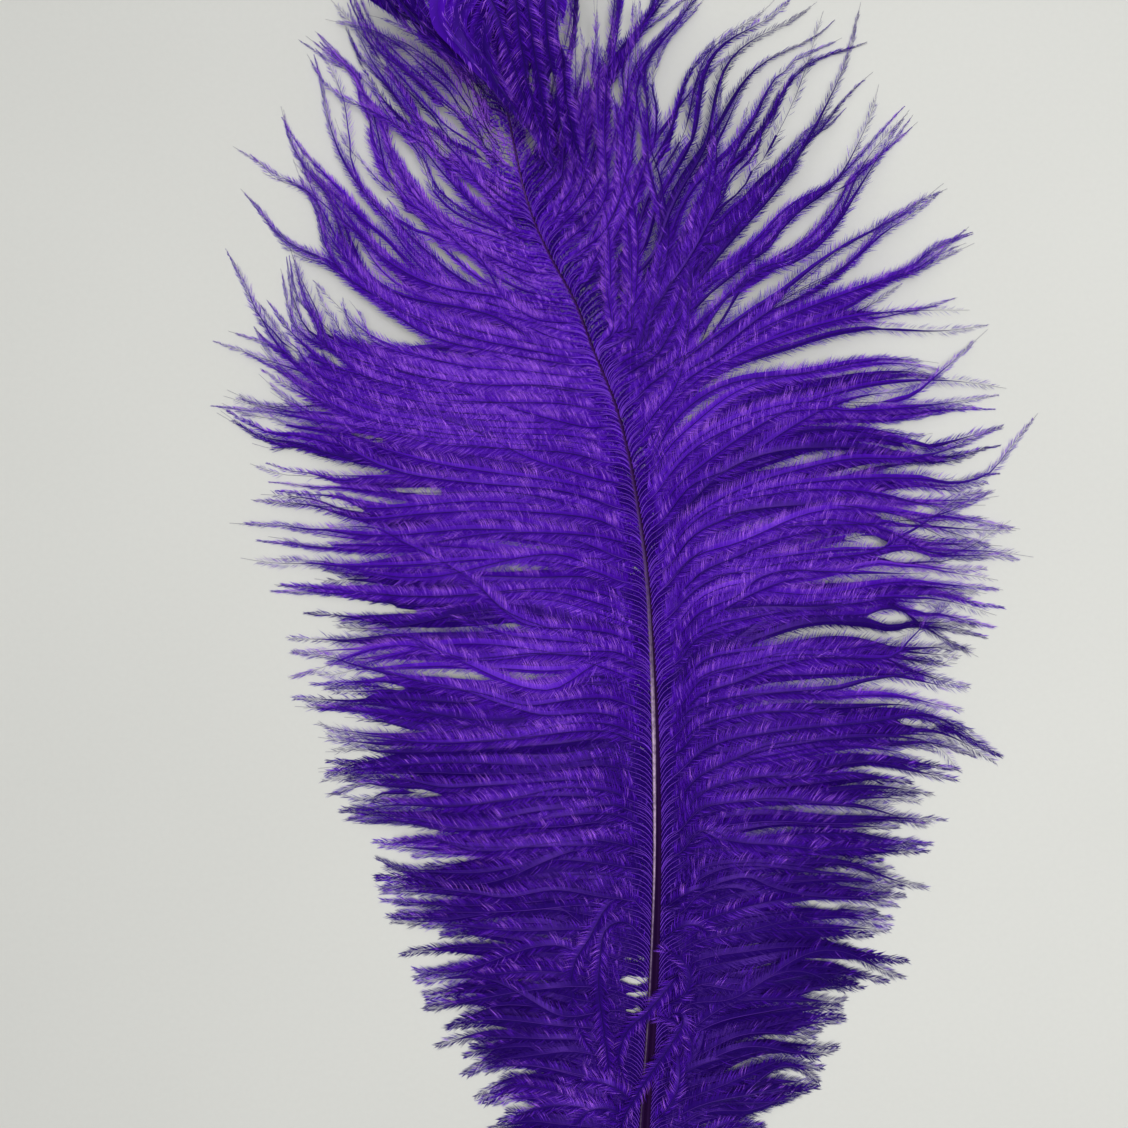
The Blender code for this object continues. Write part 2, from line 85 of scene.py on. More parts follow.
# Centre line of the shaft, from the cut end to the tip: x, y, height.
SHAFT = [
    (-4.3, 0.0, 1.45), (-3.9, 12.0, 1.6), (-3.2, 34.0, 1.5), (-2.1, 60.0, 1.25),
    (-0.6, 82.6, 1.1), (0.3, 105.6, 1.0), (0.4, 121.8, 0.95), (-0.1, 145.0, 0.9),
    (-0.9, 161.4, 0.85), (-1.8, 172.8, 0.85), (-3.4, 184.3, 0.95),
    (-5.5, 195.8, 1.2), (-8.0, 205.0, 1.6), (-12.6, 216.4, 2.3),
    (-16.1, 225.6, 3.1), (-20.5, 233.6, 3.9), (-24.2, 241.5, 4.9),
    (-26.5, 248.8, 6.0), (-28.2, 256.8, 7.6), (-30.2, 266.7, 10.6),
    (-32.4, 276.4, 14.6), (-34.8, 286.0, 19.6), (-36.6, 293.6, 25.0),
    (-37.4, 299.4, 30.5), (-36.0, 301.6, 35.2), (-33.2, 299.8, 38.2),
    (-30.6, 294.6, 39.0), (-28.4, 288.6, 37.6), (-26.8, 283.4, 35.0),
]

# Shaft half width along its length: distance from the cut end, half width.
SHAFT_HALF = [
    (0.0, 1.0), (2.0, 1.35), (9.0, 1.6), (34.0, 1.5), (60.0, 1.2), (90.0, 1.1),
    (110.0, 0.98), (145.0, 0.92), (172.0, 0.66), (200.0, 0.42), (230.0, 0.3),
    (257.0, 0.25), (290.0, 0.22), (345.0, 0.2),
]

# Locks from the quill up: distance of the root along the shaft, then points
# out to the lock's tip. Two numbers are x, y; three are x, y, height.
LEFT_LOCKS = [
    (34, (-6.5, 37.5), (-10, 40), (-15, 42.5)),
    (40, (-8, 44.5), (-15, 47), (-23, 49)),
    (47, (-9, 51.5), (-18, 54), (-29, 55)),
    (53, (-9, 57.5), (-20, 60), (-34, 60)),
    (58, (-9, 62.5), (-20, 65.5), (-28, 66), (-35, 63)),
    (63, (-9, 68), (-20, 70.5), (-30, 71), (-37.5, 68.5)),
    (68.5, (-9, 73), (-20, 75), (-32, 75.2), (-41, 72.7)),
    (74, (-9, 78.5), (-20, 80.2), (-34, 80.4), (-45, 77.3)),
    (80, (-9, 84.5), (-20, 86.5), (-33, 87), (-45.8, 86.5)),
    (85.5, (-9, 90), (-22, 93), (-35, 92.8), (-48, 90)),
    (90.5, (-9, 95), (-22, 97.3), (-37, 97.2), (-51.5, 95)),
    (95.5, (-9, 100), (-24, 101), (-40, 100), (-52.5, 100)),
    (100, (-9, 104), (-25, 104), (-42, 103.6), (-54.5, 103.5)),
    (104.5, (-9, 108.5), (-25, 107.8), (-42, 107.5), (-55.5, 107.8)),
    (109, (-9, 113), (-20, 113.5), (-35, 111.8), (-56, 112)),
    (113, (-9, 117.5), (-22, 117.3), (-38, 115.8), (-55.5, 116.5)),
    (118, (-9, 123), (-22, 122), (-38, 120), (-62.5, 121.8)),
    (122, (-9, 127), (-20, 127.6), (-36, 125), (-63, 125)),
    (126.5, (-9, 131.3), (-24, 131.5), (-45, 129.8), (-66, 128.5)),
    (131, (-9, 135.7), (-24, 135.4), (-46, 133.6), (-69, 134)),
    (135.5, (-9, 140.5), (-22, 140), (-44, 137.5), (-67, 139)),
    (140, (-9, 144.8), (-25, 143.8), (-50, 143.5), (-72.4, 144.6)),
    (144.5, (-9, 149.3), (-25, 148.8), (-50, 148), (-72.3, 148.8)),
    (149.5, (-9, 154), (-25, 154.6), (-48, 154.6), (-73.3, 155.2)),
    (154.5, (-9.5, 159), (-25, 160.3), (-48, 160.3), (-74.4, 160.8)),
    (160, (-10, 164.5), (-26, 166.6), (-50, 166), (-76, 167.6)),
    (165, (-11, 170), (-28, 172.3), (-52, 171.8), (-78, 173)),
    (170, (-12, 175.3), (-30, 178.2), (-54, 177.8), (-80, 179.4)),
    (175.5, (-13, 181), (-30, 184), (-55, 183.2), (-79, 186)),
    (181, (-14, 186.3), (-32, 189), (-56, 189), (-80, 192.5)),
    (186.5, (-15, 190.4), (-34, 192), (-55, 193.8), (-70, 196.6), (-79.4, 198.8), (-88, 204.4)),
    (191.5, (-16, 194.8), (-35, 196.2), (-53, 198.2), (-67, 200.4), (-77.8, 202.6), (-86.2, 206.4)),
    (197, (-17, 199.6), (-35, 200.2), (-53, 202), (-67, 205.4), (-78.6, 211.4), (-87.8, 217.4)),
    (202.5, (-18, 204.8), (-35, 205.2), (-51, 206.8), (-65, 210.4), (-76, 216.8), (-81, 223.4)),
    (208, (-19.4, 209.6), (-35, 209.8), (-50, 212.4), (-63, 218), (-70.4, 226), (-73.2, 234)),
    (213.5, (-21, 214.8), (-38, 218.4), (-53, 224.6), (-63.4, 233.6), (-68.2, 243.2), (-72.6, 254)),
    (219, (-23, 220.7), (-42, 226.5), (-55.5, 234.5), (-63.5, 245.5), (-73.5, 264)),
    (225, (-25.5, 226), (-42, 233), (-53.5, 242.5), (-61, 254), (-69.7, 274.5)),
    (231, (-28, 232), (-42, 240), (-51.5, 250.5), (-59, 262), (-70, 278.5)),
    (237.5, (-30.5, 239), (-42, 248), (-50.5, 258.5), (-58.5, 269), (-68, 282.5)),
    (244, (-32.5, 246), (-42, 255.5), (-50, 265.5), (-58, 275), (-65, 286.5)),
    (251, (-34, 254), (-42, 263), (-50, 271.5), (-57, 279.5), (-63, 291)),
    (259, (-35.5, 264, 11), (-43.5, 273, 13), (-51.5, 283, 12), (-59, 296, 7)),
    (268, (-37.5, 274, 16), (-44.5, 283.5, 18), (-50.5, 293, 16), (-54, 303, 10)),
    (278, (-40, 284.5, 21), (-45.5, 293, 23), (-49, 301, 20), (-50, 308, 14)),
    (288, (-42, 294.5, 26.5), (-47, 302, 28), (-50.5, 307, 25.5), (-53, 311, 20)),
    (297, (-44.5, 299.5, 32), (-51, 302.5, 33), (-57.5, 303, 29.5), (-64, 301, 23)),
    (305, (-43, 301, 37), (-51, 300, 37.5), (-57.5, 295, 36), (-58.5, 288.5, 34), (-53, 283.6, 32),
     (-44, 277, 30), (-35, 270, 27), (-27.5, 260.5, 24)),
    (311, (-41, 297.5, 40), (-47.5, 294.5, 39.5), (-51, 288.5, 37), (-46.5, 281.5, 34),
     (-37, 273, 31), (-30, 265.5, 28), (-25, 258.5, 25)),
    (317, (-37, 291, 42), (-41.5, 288, 40), (-42.5, 283, 38), (-37, 275.5, 35), (-31, 268, 31),
     (-26, 261.5, 28), (-21.8, 255.5, 25)),
    (323, (-32, 284, 39), (-34, 280, 38), (-33, 274, 35), (-29, 267, 31.5), (-25, 261, 28),
     (-20.6, 254, 24)),
]

RIGHT_LOCKS = [
    (34, (1, 37.5), (5, 40), (9.5, 42)),
    (40, (3, 44.5), (8, 47), (14, 48.5)),
    (46.5, (4.5, 51), (11, 53.5), (18, 55)),
    (52, (6, 57), (14, 60), (24, 61.5)),
    (57, (7, 62), (16, 65), (25, 66.6), (32.5, 66.8)),
    (62, (8, 67.5), (17, 71), (26, 72.5), (33.5, 72)),
    (67, (8, 72.5), (18, 76), (28, 77.4), (37, 78)),
    (72, (8, 77.5), (18, 81), (28, 82.8), (38, 82.2)),
    (76.5, (9, 82.5), (20, 86), (31, 87.6), (41, 87.6)),
    (81, (9, 87), (21, 90.3), (34, 91.6), (48.7, 89.7)),
    (85, (9, 91.3), (22, 94.8), (36, 95.6), (51, 93.2)),
    (89, (9, 95.5), (22, 98.7), (34, 99.6), (46.8, 98.5)),
    (93, (9, 100), (22, 103), (34, 103.8), (47.6, 102.6)),
    (97, (9, 104.4), (22, 107.3), (36, 108), (51, 106.7)),
    (101, (9, 108.7), (22, 111.8), (38, 112.4), (55.5, 110.8)),
    (105.5, (9, 113.2), (22, 116.2), (38, 116.8), (55.3, 115.2)),
    (110, (9, 118), (22, 120.8), (38, 121.3), (56.8, 120.3)),
    (114.5, (9, 122.8), (22, 125.4), (40, 126), (60, 125.8)),
    (119, (9, 127.2), (22, 130.2), (40, 131.4), (61.5, 129.8)),
    (123.5, (9, 131.8), (22, 135.6), (40, 137.2), (54, 136.6), (62, 131.8)),
    (128, (9, 136.4), (22, 140.2), (42, 141.6), (57, 140.8), (70, 134.6)),
    (132, (9, 141), (22, 144.6), (40, 145.8), (62, 143.4)),
    (136, (9, 145.4), (22, 149.2), (40, 150), (62.6, 147.6)),
    (140.5, (9, 150.2), (22, 154), (40, 155), (65.8, 152)),
    (145, (9, 154.8), (22, 158.6), (42, 160.2), (66.6, 157.6)),
    (149.5, (9, 159.6), (24, 163.8), (45, 165.8), (68.8, 162.2)),
    (154, (9, 164.4), (24, 168.8), (45, 171.2), (61, 169.8), (72.6, 166)),
    (159, (9, 169.6), (24, 174), (45, 176), (62, 175.2), (76, 175)),
    (164, (8.5, 175), (24, 179.8), (43, 181.8), (58, 180.2), (74.5, 180)),
    (169, (8, 180.2), (24, 185.4), (42, 187), (56, 186), (68.5, 186.6)),
    (173.5, (8, 185), (23, 190.6), (42, 192.2), (58, 192.2), (69.5, 193.6)),
    (178, (7, 189.6), (21, 196), (40, 198), (57, 197.6), (70, 200.4)),
    (182.5, (6, 194.4), (19, 201.4), (36, 204.2), (53, 204.2), (68, 204.6)),
    (187, (4.5, 199), (17, 207), (33, 210.4), (51, 211.4), (70, 209)),
    (192, (3, 203.8), (14, 212.4), (29, 217.6), (46, 220.6), (66, 222)),
    (197, (2, 206.5), (12, 214.5), (26, 222.5), (42, 229.6), (64, 238.6)),
    (202, (0.5, 209.8), (9, 216), (18, 222.5), (29, 230), (43, 238.5), (58, 249)),
    (207, (-1, 213.5), (7.5, 221), (14.5, 228.5), (24, 235), (35, 243.6), (42, 254), (51, 263.6)),
    (212, (-3, 217.4), (3, 224), (9, 233), (15.5, 240.5), (24, 250), (32, 260.5), (44.9, 269.6)),
    (217, (-5.5, 221), (0, 228), (4.5, 237), (10.5, 247), (18, 259), (27, 270.5), (41.5, 279)),
    (222, (-8, 225.8), (-2.5, 232.4), (1.2, 242), (6, 252.5), (12, 264), (22, 275), (34.5, 284)),
    (227, (-10.5, 230.6), (-5.2, 237.4), (-1.8, 247), (2.4, 257.5), (7, 269), (14, 280), (26.5, 290)),
    (232.5, (-13, 236), (-8.2, 243), (-5, 252.6), (-2, 264), (3, 277), (16.5, 295)),
    (238.5, (-16, 242.4), (-11.6, 249.4), (-8.8, 258.6), (-6, 269.5), (-2.5, 282), (6.5, 299)),
    (245, (-18.7, 251), (-15, 262), (-11.5, 274), (-9.2, 286), (-3.5, 302)),
    (252, (-21, 258, 10), (-18.3, 268, 12), (-16, 279, 11), (-13.5, 303, 5)),
    (260, (-23.3, 266, 14), (-21, 276, 16), (-20, 287, 15), (-21, 305, 9)),
    (269, (-25.8, 276, 19), (-23.5, 286, 22), (-23, 296, 21), (-26, 308, 15)),
    (279, (-28, 286, 24.5), (-25, 296, 28), (-23, 303, 27), (-22, 311, 22)),
    (289, (-30, 295, 29.5), (-26, 302.5, 33), (-21.5, 306, 32.5), (-15, 309, 29)),
    (297, (-30.5, 299.5, 35), (-25, 303.5, 38), (-18.5, 303.5, 37), (-9, 300, 32)),
    (304, (-29.5, 300, 39.5), (-23, 300, 41), (-15.5, 296, 38), (-7, 288, 31)),
    (310, (-26, 296, 42), (-21, 293, 41), (-18, 286.5, 38), (-19.8, 277, 34), (-22.3, 269, 31)),
    (316.5, (-24.5, 289, 41), (-21.5, 284, 39), (-21.3, 276, 35.5), (-23, 267, 31), (-22.5, 259, 27)),
    (323, (-24.6, 281, 37.5), (-23.6, 274, 35), (-23.6, 266, 31), (-21.5, 257, 26.5), (-19.4, 252, 23)),
]

# Barbs that lie loose on top of the others, each as seen from the camera: points from
# where it comes into view out to its tip.
LEFT_LOOSE = [
    [(-6, 139.8), (-12, 141), (-20, 140.3), (-27, 138), (-40, 137), (-55, 137.5), (-66, 139)],
    [(-8, 124.5), (-14, 124), (-22, 121.5), (-30, 120), (-42, 119.5), (-62, 121.8)],
    [(-8, 127), (-18, 128), (-28, 126), (-38, 124.5), (-50, 124.5), (-62.5, 124)],
    [(-6, 112), (-12, 113), (-20, 113.5), (-28, 112), (-35, 111), (-42, 111), (-55, 112)],
    [(-6, 116.5), (-12, 117.5), (-20, 117), (-30, 115.5), (-37, 115.5), (-42, 117), (-50, 117.5)],
    [(-10, 106), (-20, 107.5), (-30, 106), (-37, 107), (-48, 108), (-55.5, 107.8)],
    [(-10, 156), (-20, 159.5), (-30, 163.5), (-35, 168), (-42, 173), (-50, 177), (-56, 180),
     (-70, 179.8)],
    [(-7, 155), (-20, 155), (-35, 153.5), (-42, 155), (-50, 158.5), (-60, 160)],
    [(-12, 143), (-22, 142.5), (-30, 144.5), (-40, 148), (-50, 150), (-56, 152)],
    [(-13, 182), (-30, 183.5), (-45, 183), (-60, 182), (-74, 187)],
    [(-10, 178), (-20, 179), (-35, 178.7), (-48, 176)],
    [(-32, 188.7), (-42, 189.7), (-50, 191), (-57, 193.5), (-64, 198), (-70, 203), (-77, 208)],
    [(-30, 190.8), (-40, 192.3), (-48, 194), (-57, 197), (-65, 202)],
    [(-12, 190), (-25, 194), (-35, 199), (-45, 203)],
    [(-12, 200), (-25, 203), (-40, 208), (-50, 213)],
    [(-18, 221), (-24, 222), (-30, 226), (-33, 231), (-37, 237), (-41, 240)],
    [(-28, 252), (-33, 259), (-38, 264), (-45, 271), (-55, 279), (-66, 282)],
    [(-28, 250), (-32, 255), (-40, 263), (-48, 270), (-56, 276), (-61, 281.5), (-65, 286)],
    [(-50, 172.6), (-66, 172.5), (-78, 173.2), (-83, 174)],
    [(-56, 178.5), (-70, 180.2), (-85.3, 181)],
    [(-55, 184), (-70, 184.5), (-81, 185.7)],
    [(-70, 202), (-80, 203.5), (-89, 204.5)],
    [(-66, 203), (-76, 203.5), (-86.5, 206.5)],
    [(-66, 210), (-80, 214.5), (-88.5, 217.5)],
    [(-66, 212), (-78, 217), (-85.5, 219.5)],
    [(-64, 207), (-75, 216), (-80, 224), (-86, 236)],
    [(-60, 214), (-71.5, 220), (-75, 232)],
    [(-60, 216), (-68, 222), (-73, 236)],
    [(-56, 218), (-64, 225), (-68.5, 230)],
    [(-55, 226), (-66, 233.5), (-74, 238), (-83, 248)],
    [(-58, 238), (-70, 247), (-76, 251), (-84.5, 256.5)],
    [(-45, 222), (-60, 229), (-66, 236), (-72.5, 254)],
    [(-46, 255), (-52, 261), (-60, 265), (-66, 269), (-69.7, 275)],
]

RIGHT_LOOSE = [
    [(10, 160), (20, 162.5), (30, 165), (45, 166), (58, 165.5), (68.5, 162.5)],
    [(10, 153.5), (20, 155.5), (30, 156), (42, 154)],
    [(10, 150), (20, 152.5), (30, 154), (42, 153.5)],
    [(7, 143.5), (15, 146), (25, 147), (38, 146)],
    [(10, 141), (20, 143), (27, 143.3), (35, 142.5), (40, 140.5)],
    [(10, 131), (20, 135), (30, 137), (38, 138), (50, 138), (57, 136), (61, 131)],
    [(7, 126), (12, 128), (20, 130), (32, 130.5), (45, 131)],
    [(10, 124), (20, 125.3), (30, 125), (42, 124), (55, 120)],
    [(10, 119.5), (17, 117), (25, 115), (30, 115), (38, 117)],
    [(10, 112), (18, 113), (28, 112.5), (38, 111)],
    [(10, 184), (20, 189), (30, 192), (40, 194), (50, 194), (58, 195.5), (70, 200.7)],
    [(10, 193), (20, 200), (30, 205), (40, 208), (50, 209.5), (60, 209.5), (70.5, 208)],
    [(12, 184), (25, 187), (40, 187.5), (55, 184.5), (63, 182)],
    [(15, 182), (30, 184.5), (42, 184), (52, 181), (60, 177), (64, 175)],
    [(12, 172), (30, 171.5), (45, 171), (58, 171)],
    [(10, 161), (17, 165.5), (25, 169), (35, 171)],
    [(42, 141), (54, 142.5), (60, 140.5), (66, 136.5), (70, 134)],
    [(50, 176), (60, 175), (71.3, 181.5)],
    [(45, 181), (58, 183), (68.3, 187.7)],
    [(42, 190), (55, 190), (66, 190.3), (72, 197), (76.8, 203)],
    [(48, 204), (58, 205), (69, 206.7)],
    [(50, 206), (57, 211), (66.7, 219.8)],
    [(38, 222), (50, 223.5), (63.1, 223.7)],
    [(38, 227), (45, 229), (55, 233), (64.1, 237.1)],
    [(30, 224), (45, 229.5), (55, 234), (63, 240.4)],
    [(20, 224), (35, 233), (43, 239), (50, 243), (57.9, 249.1)],
    [(20, 231), (34, 239), (44, 253), (48.3, 260), (51, 263.8)],
    [(22, 236), (34, 246), (43, 262), (44.9, 268.9)],
    [(26, 250), (33, 262), (38.5, 274), (41.3, 285.4)],
    [(22, 255), (28, 266), (33.8, 283.7)],
    [(-16, 226), (-13, 232), (-9, 240), (-6, 250), (-4, 262), (-3, 275), (-3, 287)],
    [(-22, 238), (-16, 252), (-14, 262), (-12, 275), (-11.5, 287)],
    [(-26, 251), (-24, 258), (-21, 266), (-20, 275), (-19, 287)],
    [(0, 203), (4, 208), (6.5, 217), (7, 230), (5, 240)],
]

# Strands of clinging barbs that lie on top, in the photograph's pixels: how many barbs,
# then points from where the strand comes into view out to its tip.
LEFT_STRANDS = [
    (2, (440, 402), (380, 385), (335, 355), (309, 320), (300, 290), (294, 268)),
    (3, (440, 420), (370, 405), (315, 375), (282, 340), (262, 312), (250, 296)),
    (3, (440, 432), (360, 417), (308, 392), (274, 362), (254, 332), (249, 315)),
    (2, (430, 442), (350, 428), (300, 407), (262, 378), (246, 363)),
    (2, (400, 372), (365, 348), (345, 320), (336, 298)),
    (2, (400, 405), (345, 385), (322, 350), (314, 318), (310, 285)),
    (2, (330, 263), (302, 250), (288, 240), (263, 212), (240, 190)),
    (2, (302, 195), (288, 185), (273, 172), (250, 160), (233, 147)),
    (2, (330, 345), (318, 327), (308, 300), (297, 277), (292, 263), (288, 242)),
    (1, (288, 345), (267, 322), (258, 312), (243, 277), (230, 255)),
    (1, (298, 325), (297, 318), (288, 290), (280, 268)),
    (1, (347, 340), (337, 325), (323, 302), (313, 278)),
    (3, (438, 322), (397, 303), (373, 288), (357, 272), (338, 250), (323, 233), (313, 210), (305, 185),
     (300, 163), (298, 147)),
    (1, (355, 338), (347, 322), (342, 297), (340, 280)),
    (1, (372, 337), (362, 323), (353, 305), (347, 288)),
    (2, (388, 263), (363, 237), (343, 218), (330, 197), (317, 172), (308, 152)),
    (3, (450, 293), (430, 272), (408, 248), (390, 223), (372, 202), (357, 180), (347, 160), (337, 138)),
    (3, (500, 160), (485, 140), (468, 115), (450, 88), (430, 68), (405, 45), (380, 32), (350, 22)),
    (3, (490, 185), (465, 172), (440, 150), (425, 130), (410, 105), (390, 75), (370, 58), (350, 46)),
    (2, (478, 72), (450, 52), (425, 35), (400, 25), (385, 18), (362, 12)),
    (2, (462, 170), (440, 150), (420, 137), (395, 128), (370, 112), (350, 100)),
    (1, (410, 190), (395, 160), (375, 135), (365, 120)),
    (1, (530, 620), (510, 612), (490, 600), (470, 582), (460, 574), (434, 562)),
    (1, (530, 634), (500, 630), (470, 624), (442, 612)),
    (1, (530, 656), (500, 659), (470, 660), (450, 658), (430, 650), (416, 640), (398, 634)),
    (1, (530, 712), (510, 708), (490, 700), (470, 694), (440, 688), (410, 678), (390, 672), (350, 662),
     (320, 656), (290, 652)),
    (1, (524, 740), (490, 742), (450, 744), (410, 742), (370, 736), (330, 738)),
    (1, (506, 740), (490, 730), (450, 726), (426, 722)),
    (1, (530, 798), (490, 804), (450, 808), (410, 806), (370, 808), (338, 807)),
    (1, (530, 822), (500, 828), (460, 828), (430, 822), (390, 818), (354, 818), (342, 822)),
    (1, (530, 850), (490, 850), (460, 848), (440, 842), (410, 840), (378, 843)),
    (1, (510, 786), (480, 788), (440, 788), (410, 780), (370, 776), (336, 769)),
]

RIGHT_STRANDS = [
    (1, (584, 170), (578, 120), (577, 60), (574, 0)),
    (1, (604, 165), (598, 110), (599, 50), (596, 0)),
    (1, (628, 160), (617, 110), (613, 50), (611, -10)),
    (1, (648, 150), (638, 100), (636, 50), (634, -10)),
    (1, (562, 175), (566, 130), (570, 80), (572, 40), (570, -10)),
    (1, (585, 180), (588, 120), (592, 80), (596, 40), (594, -14)),
    (1, (604, 190), (606, 130), (611, 90), (613, 50), (611, -8)),
    (1, (618, 200), (622, 150), (628, 80), (632, 40), (634, -16)),
    (1, (575, 185), (578, 130), (582, 90), (584, 60), (581, 15)),
    (2, (602, 350), (612, 330), (610, 290), (609, 250), (606, 215), (598, 190), (592, 160)),
    (3, (640, 345), (652, 295), (662, 255), (664, 235), (660, 205), (648, 150), (645, 100), (640, 40)),
    (3, (660, 345), (683, 300), (690, 270), (697, 240), (700, 215), (712, 180), (716, 130), (722, 60)),
    (3, (680, 360), (690, 320), (691, 290), (692, 265), (705, 225), (716, 195), (735, 150), (748, 100)),
    (2, (655, 350), (690, 300), (720, 275), (745, 258), (775, 240), (800, 205), (825, 175)),
    (3, (630, 330), (632, 290), (632, 250), (630, 215), (620, 170), (618, 120), (620, 60)),
    (1, (614, 340), (640, 290), (655, 270), (664, 240)),
    (2, (700, 235), (715, 210), (722, 185), (738, 150), (755, 120), (775, 85), (800, 60)),
    (2, (690, 245), (720, 240), (745, 215), (765, 190), (790, 150), (815, 125), (845, 112)),
    (2, (700, 345), (730, 300), (755, 272), (790, 262), (820, 240), (845, 200), (865, 160), (890, 130),
     (908, 112)),
    (2, (740, 340), (770, 310), (800, 285), (840, 262), (870, 240), (900, 215), (945, 183)),
    (1, (740, 468), (780, 438), (820, 410), (840, 400), (890, 390), (930, 378)),
    (1, (740, 514), (784, 494), (824, 492), (860, 493), (910, 501), (944, 508)),
    (1, (826, 520), (860, 524), (900, 534), (930, 550), (970, 556), (1000, 554)),
    (1, (740, 556), (780, 538), (826, 528), (860, 526)),
    (1, (876, 552), (900, 538), (920, 528), (950, 508), (974, 494), (996, 489)),
    (1, (740, 598), (760, 584), (790, 574), (836, 570), (868, 571)),
    (1, (740, 624), (800, 608), (840, 602), (900, 598), (960, 599), (980, 608)),
    (1, (892, 654), (920, 628), (950, 604), (970, 582)),
    (1, (740, 660), (790, 650), (836, 650), (880, 642), (920, 622)),
    (1, (740, 682), (780, 666), (820, 658), (880, 662)),
    (1, (840, 688), (870, 680), (920, 672), (956, 658), (974, 652)),
    (1, (700, 736), (720, 726), (750, 716), (780, 712), (810, 712), (830, 718), (848, 728)),
    (1, (700, 776), (740, 758), (770, 746), (800, 742), (830, 739), (846, 739)),
    (1, (700, 796), (730, 784), (760, 778), (790, 778), (820, 776), (836, 777)),
    (1, (700, 810), (740, 804), (770, 801), (800, 802), (830, 806), (870, 807), (916, 802)),
    (1, (700, 828), (726, 838), (750, 844), (776, 853), (800, 855), (824, 850), (844, 845)),
    (1, (700, 878), (724, 866), (750, 863), (780, 866), (820, 873), (860, 876), (890, 880)),
    (1, (750, 876), (780, 888), (820, 896), (870, 896), (908, 894)),
    (1, (700, 896), (730, 888), (750, 893), (780, 906), (820, 924)),
]

# Lens-shaped openings between the strands, in the photograph's pixels: one end, the
# other end, half the width, and True where no barbule reaches into it.
GAPS = [
    (350, 51, 411, 124, 5), (385, 128, 432, 184, 9), (350, 104, 371, 128, 6), (360, 78, 378, 105, 4),
    (401, 11, 418, 32, 3), (368, 48, 393, 70, 2), (397, 47, 417, 64, 2), (431, 78, 453, 100, 3),
    (455, 97, 473, 116, 3), (441, 103, 468, 137, 4), (417, 110, 438, 126, 4), (428, 127, 450, 161, 4),
    (460, 79, 478, 104, 3), (468, 78, 487, 98, 2.5), (491, 108, 511, 144, 3), (493, 131, 518, 177, 3),
    (481, 137, 493, 151, 3), (474, 144, 491, 170, 2), (526, 124, 534, 157, 4), (529, 57, 534, 96, 3),
    (550, 69, 556, 97, 3), (557, 11, 568, 57, 4), (587, 69, 594, 90, 3), (584, 0, 596, 43, 4),
    (600, 0, 607, 66, 4), (347, 145, 385, 208, 5), (388, 175, 405, 222, 4), (405, 210, 430, 232, 5),
    (440, 180, 450, 197, 3), (363, 225, 403, 262, 4), (340, 61, 358, 101, 6), (312, 128, 330, 160, 5),
    (280, 175, 318, 250, 13), (297, 260, 340, 282, 5), (322, 278, 343, 318, 6), (297, 300, 317, 337, 5),
    (357, 302, 425, 344, 4), (322, 322, 333, 340, 3), (321, 348, 346, 370, 4), (288, 337, 299, 366, 4),
    (252, 413, 288, 433, 6), (348, 433, 386, 440, 2), (280, 448, 315, 464, 7), (280, 473, 340, 486, 5),
    (313, 495, 366, 512, 4), (280, 512, 330, 528, 6), (282, 536, 333, 547, 4), (280, 548, 322, 560, 4),
    (289, 563, 348, 582, 5), (379, 488, 445, 495, 2), (294, 602, 335, 598, 3), (326, 614, 405, 604, 4),
    (286, 634, 330, 636, 3), (290, 644, 340, 646, 3), (298, 664, 352, 672, 7), (374, 683, 405, 690, 3),
    (308, 696, 370, 698, 3), (310, 722, 402, 728, 6), (336, 750, 382, 756, 4), (340, 796, 386, 790, 7),
    (406, 790, 440, 796, 3), (350, 826, 440, 832, 6), (610, 78, 622, 106, 5), (640, 80, 646, 108, 3),
    (654, 64, 662, 106, 5), (680, 106, 690, 144, 5), (668, 90, 682, 76, 3), (650, 150, 662, 204, 3),
    (728, 198, 748, 168, 6), (758, 170, 772, 120, 4), (780, 138, 798, 76, 4), (776, 74, 790, 60, 4),
    (798, 160, 826, 128, 4), (792, 188, 858, 126, 4), (830, 200, 852, 172, 3), (768, 256, 848, 184, 12),
    (774, 308, 878, 230, 9), (885, 270, 925, 232, 12), (700, 344, 736, 290, 4), (738, 278, 748, 270, 3),
    (858, 346, 890, 330, 5), (880, 328, 912, 312, 3), (832, 409, 905, 392, 5), (912, 447, 962, 428, 4),
    (926, 475, 975, 478, 5), (918, 506, 942, 514, 3), (872, 512, 920, 524, 3), (850, 534, 892, 545, 5),
    (882, 557, 928, 556, 6), (942, 562, 968, 562, 3), (868, 616, 914, 618, 8), (888, 636, 922, 628, 3),
    (915, 606, 938, 612, 4), (944, 660, 956, 663, 3), (896, 720, 940, 726, 4), (900, 752, 940, 756, 4),
    (918, 788, 938, 790, 3), (805, 902, 842, 910, 4), (896, 856, 920, 862, 3),
    (618, 960, 649, 960, 3.5), (618, 981, 649, 981, 4.5, True),
    (622, 995, 649, 995, 2.5, True), (624, 1011, 644, 1011, 2.5, True),
]

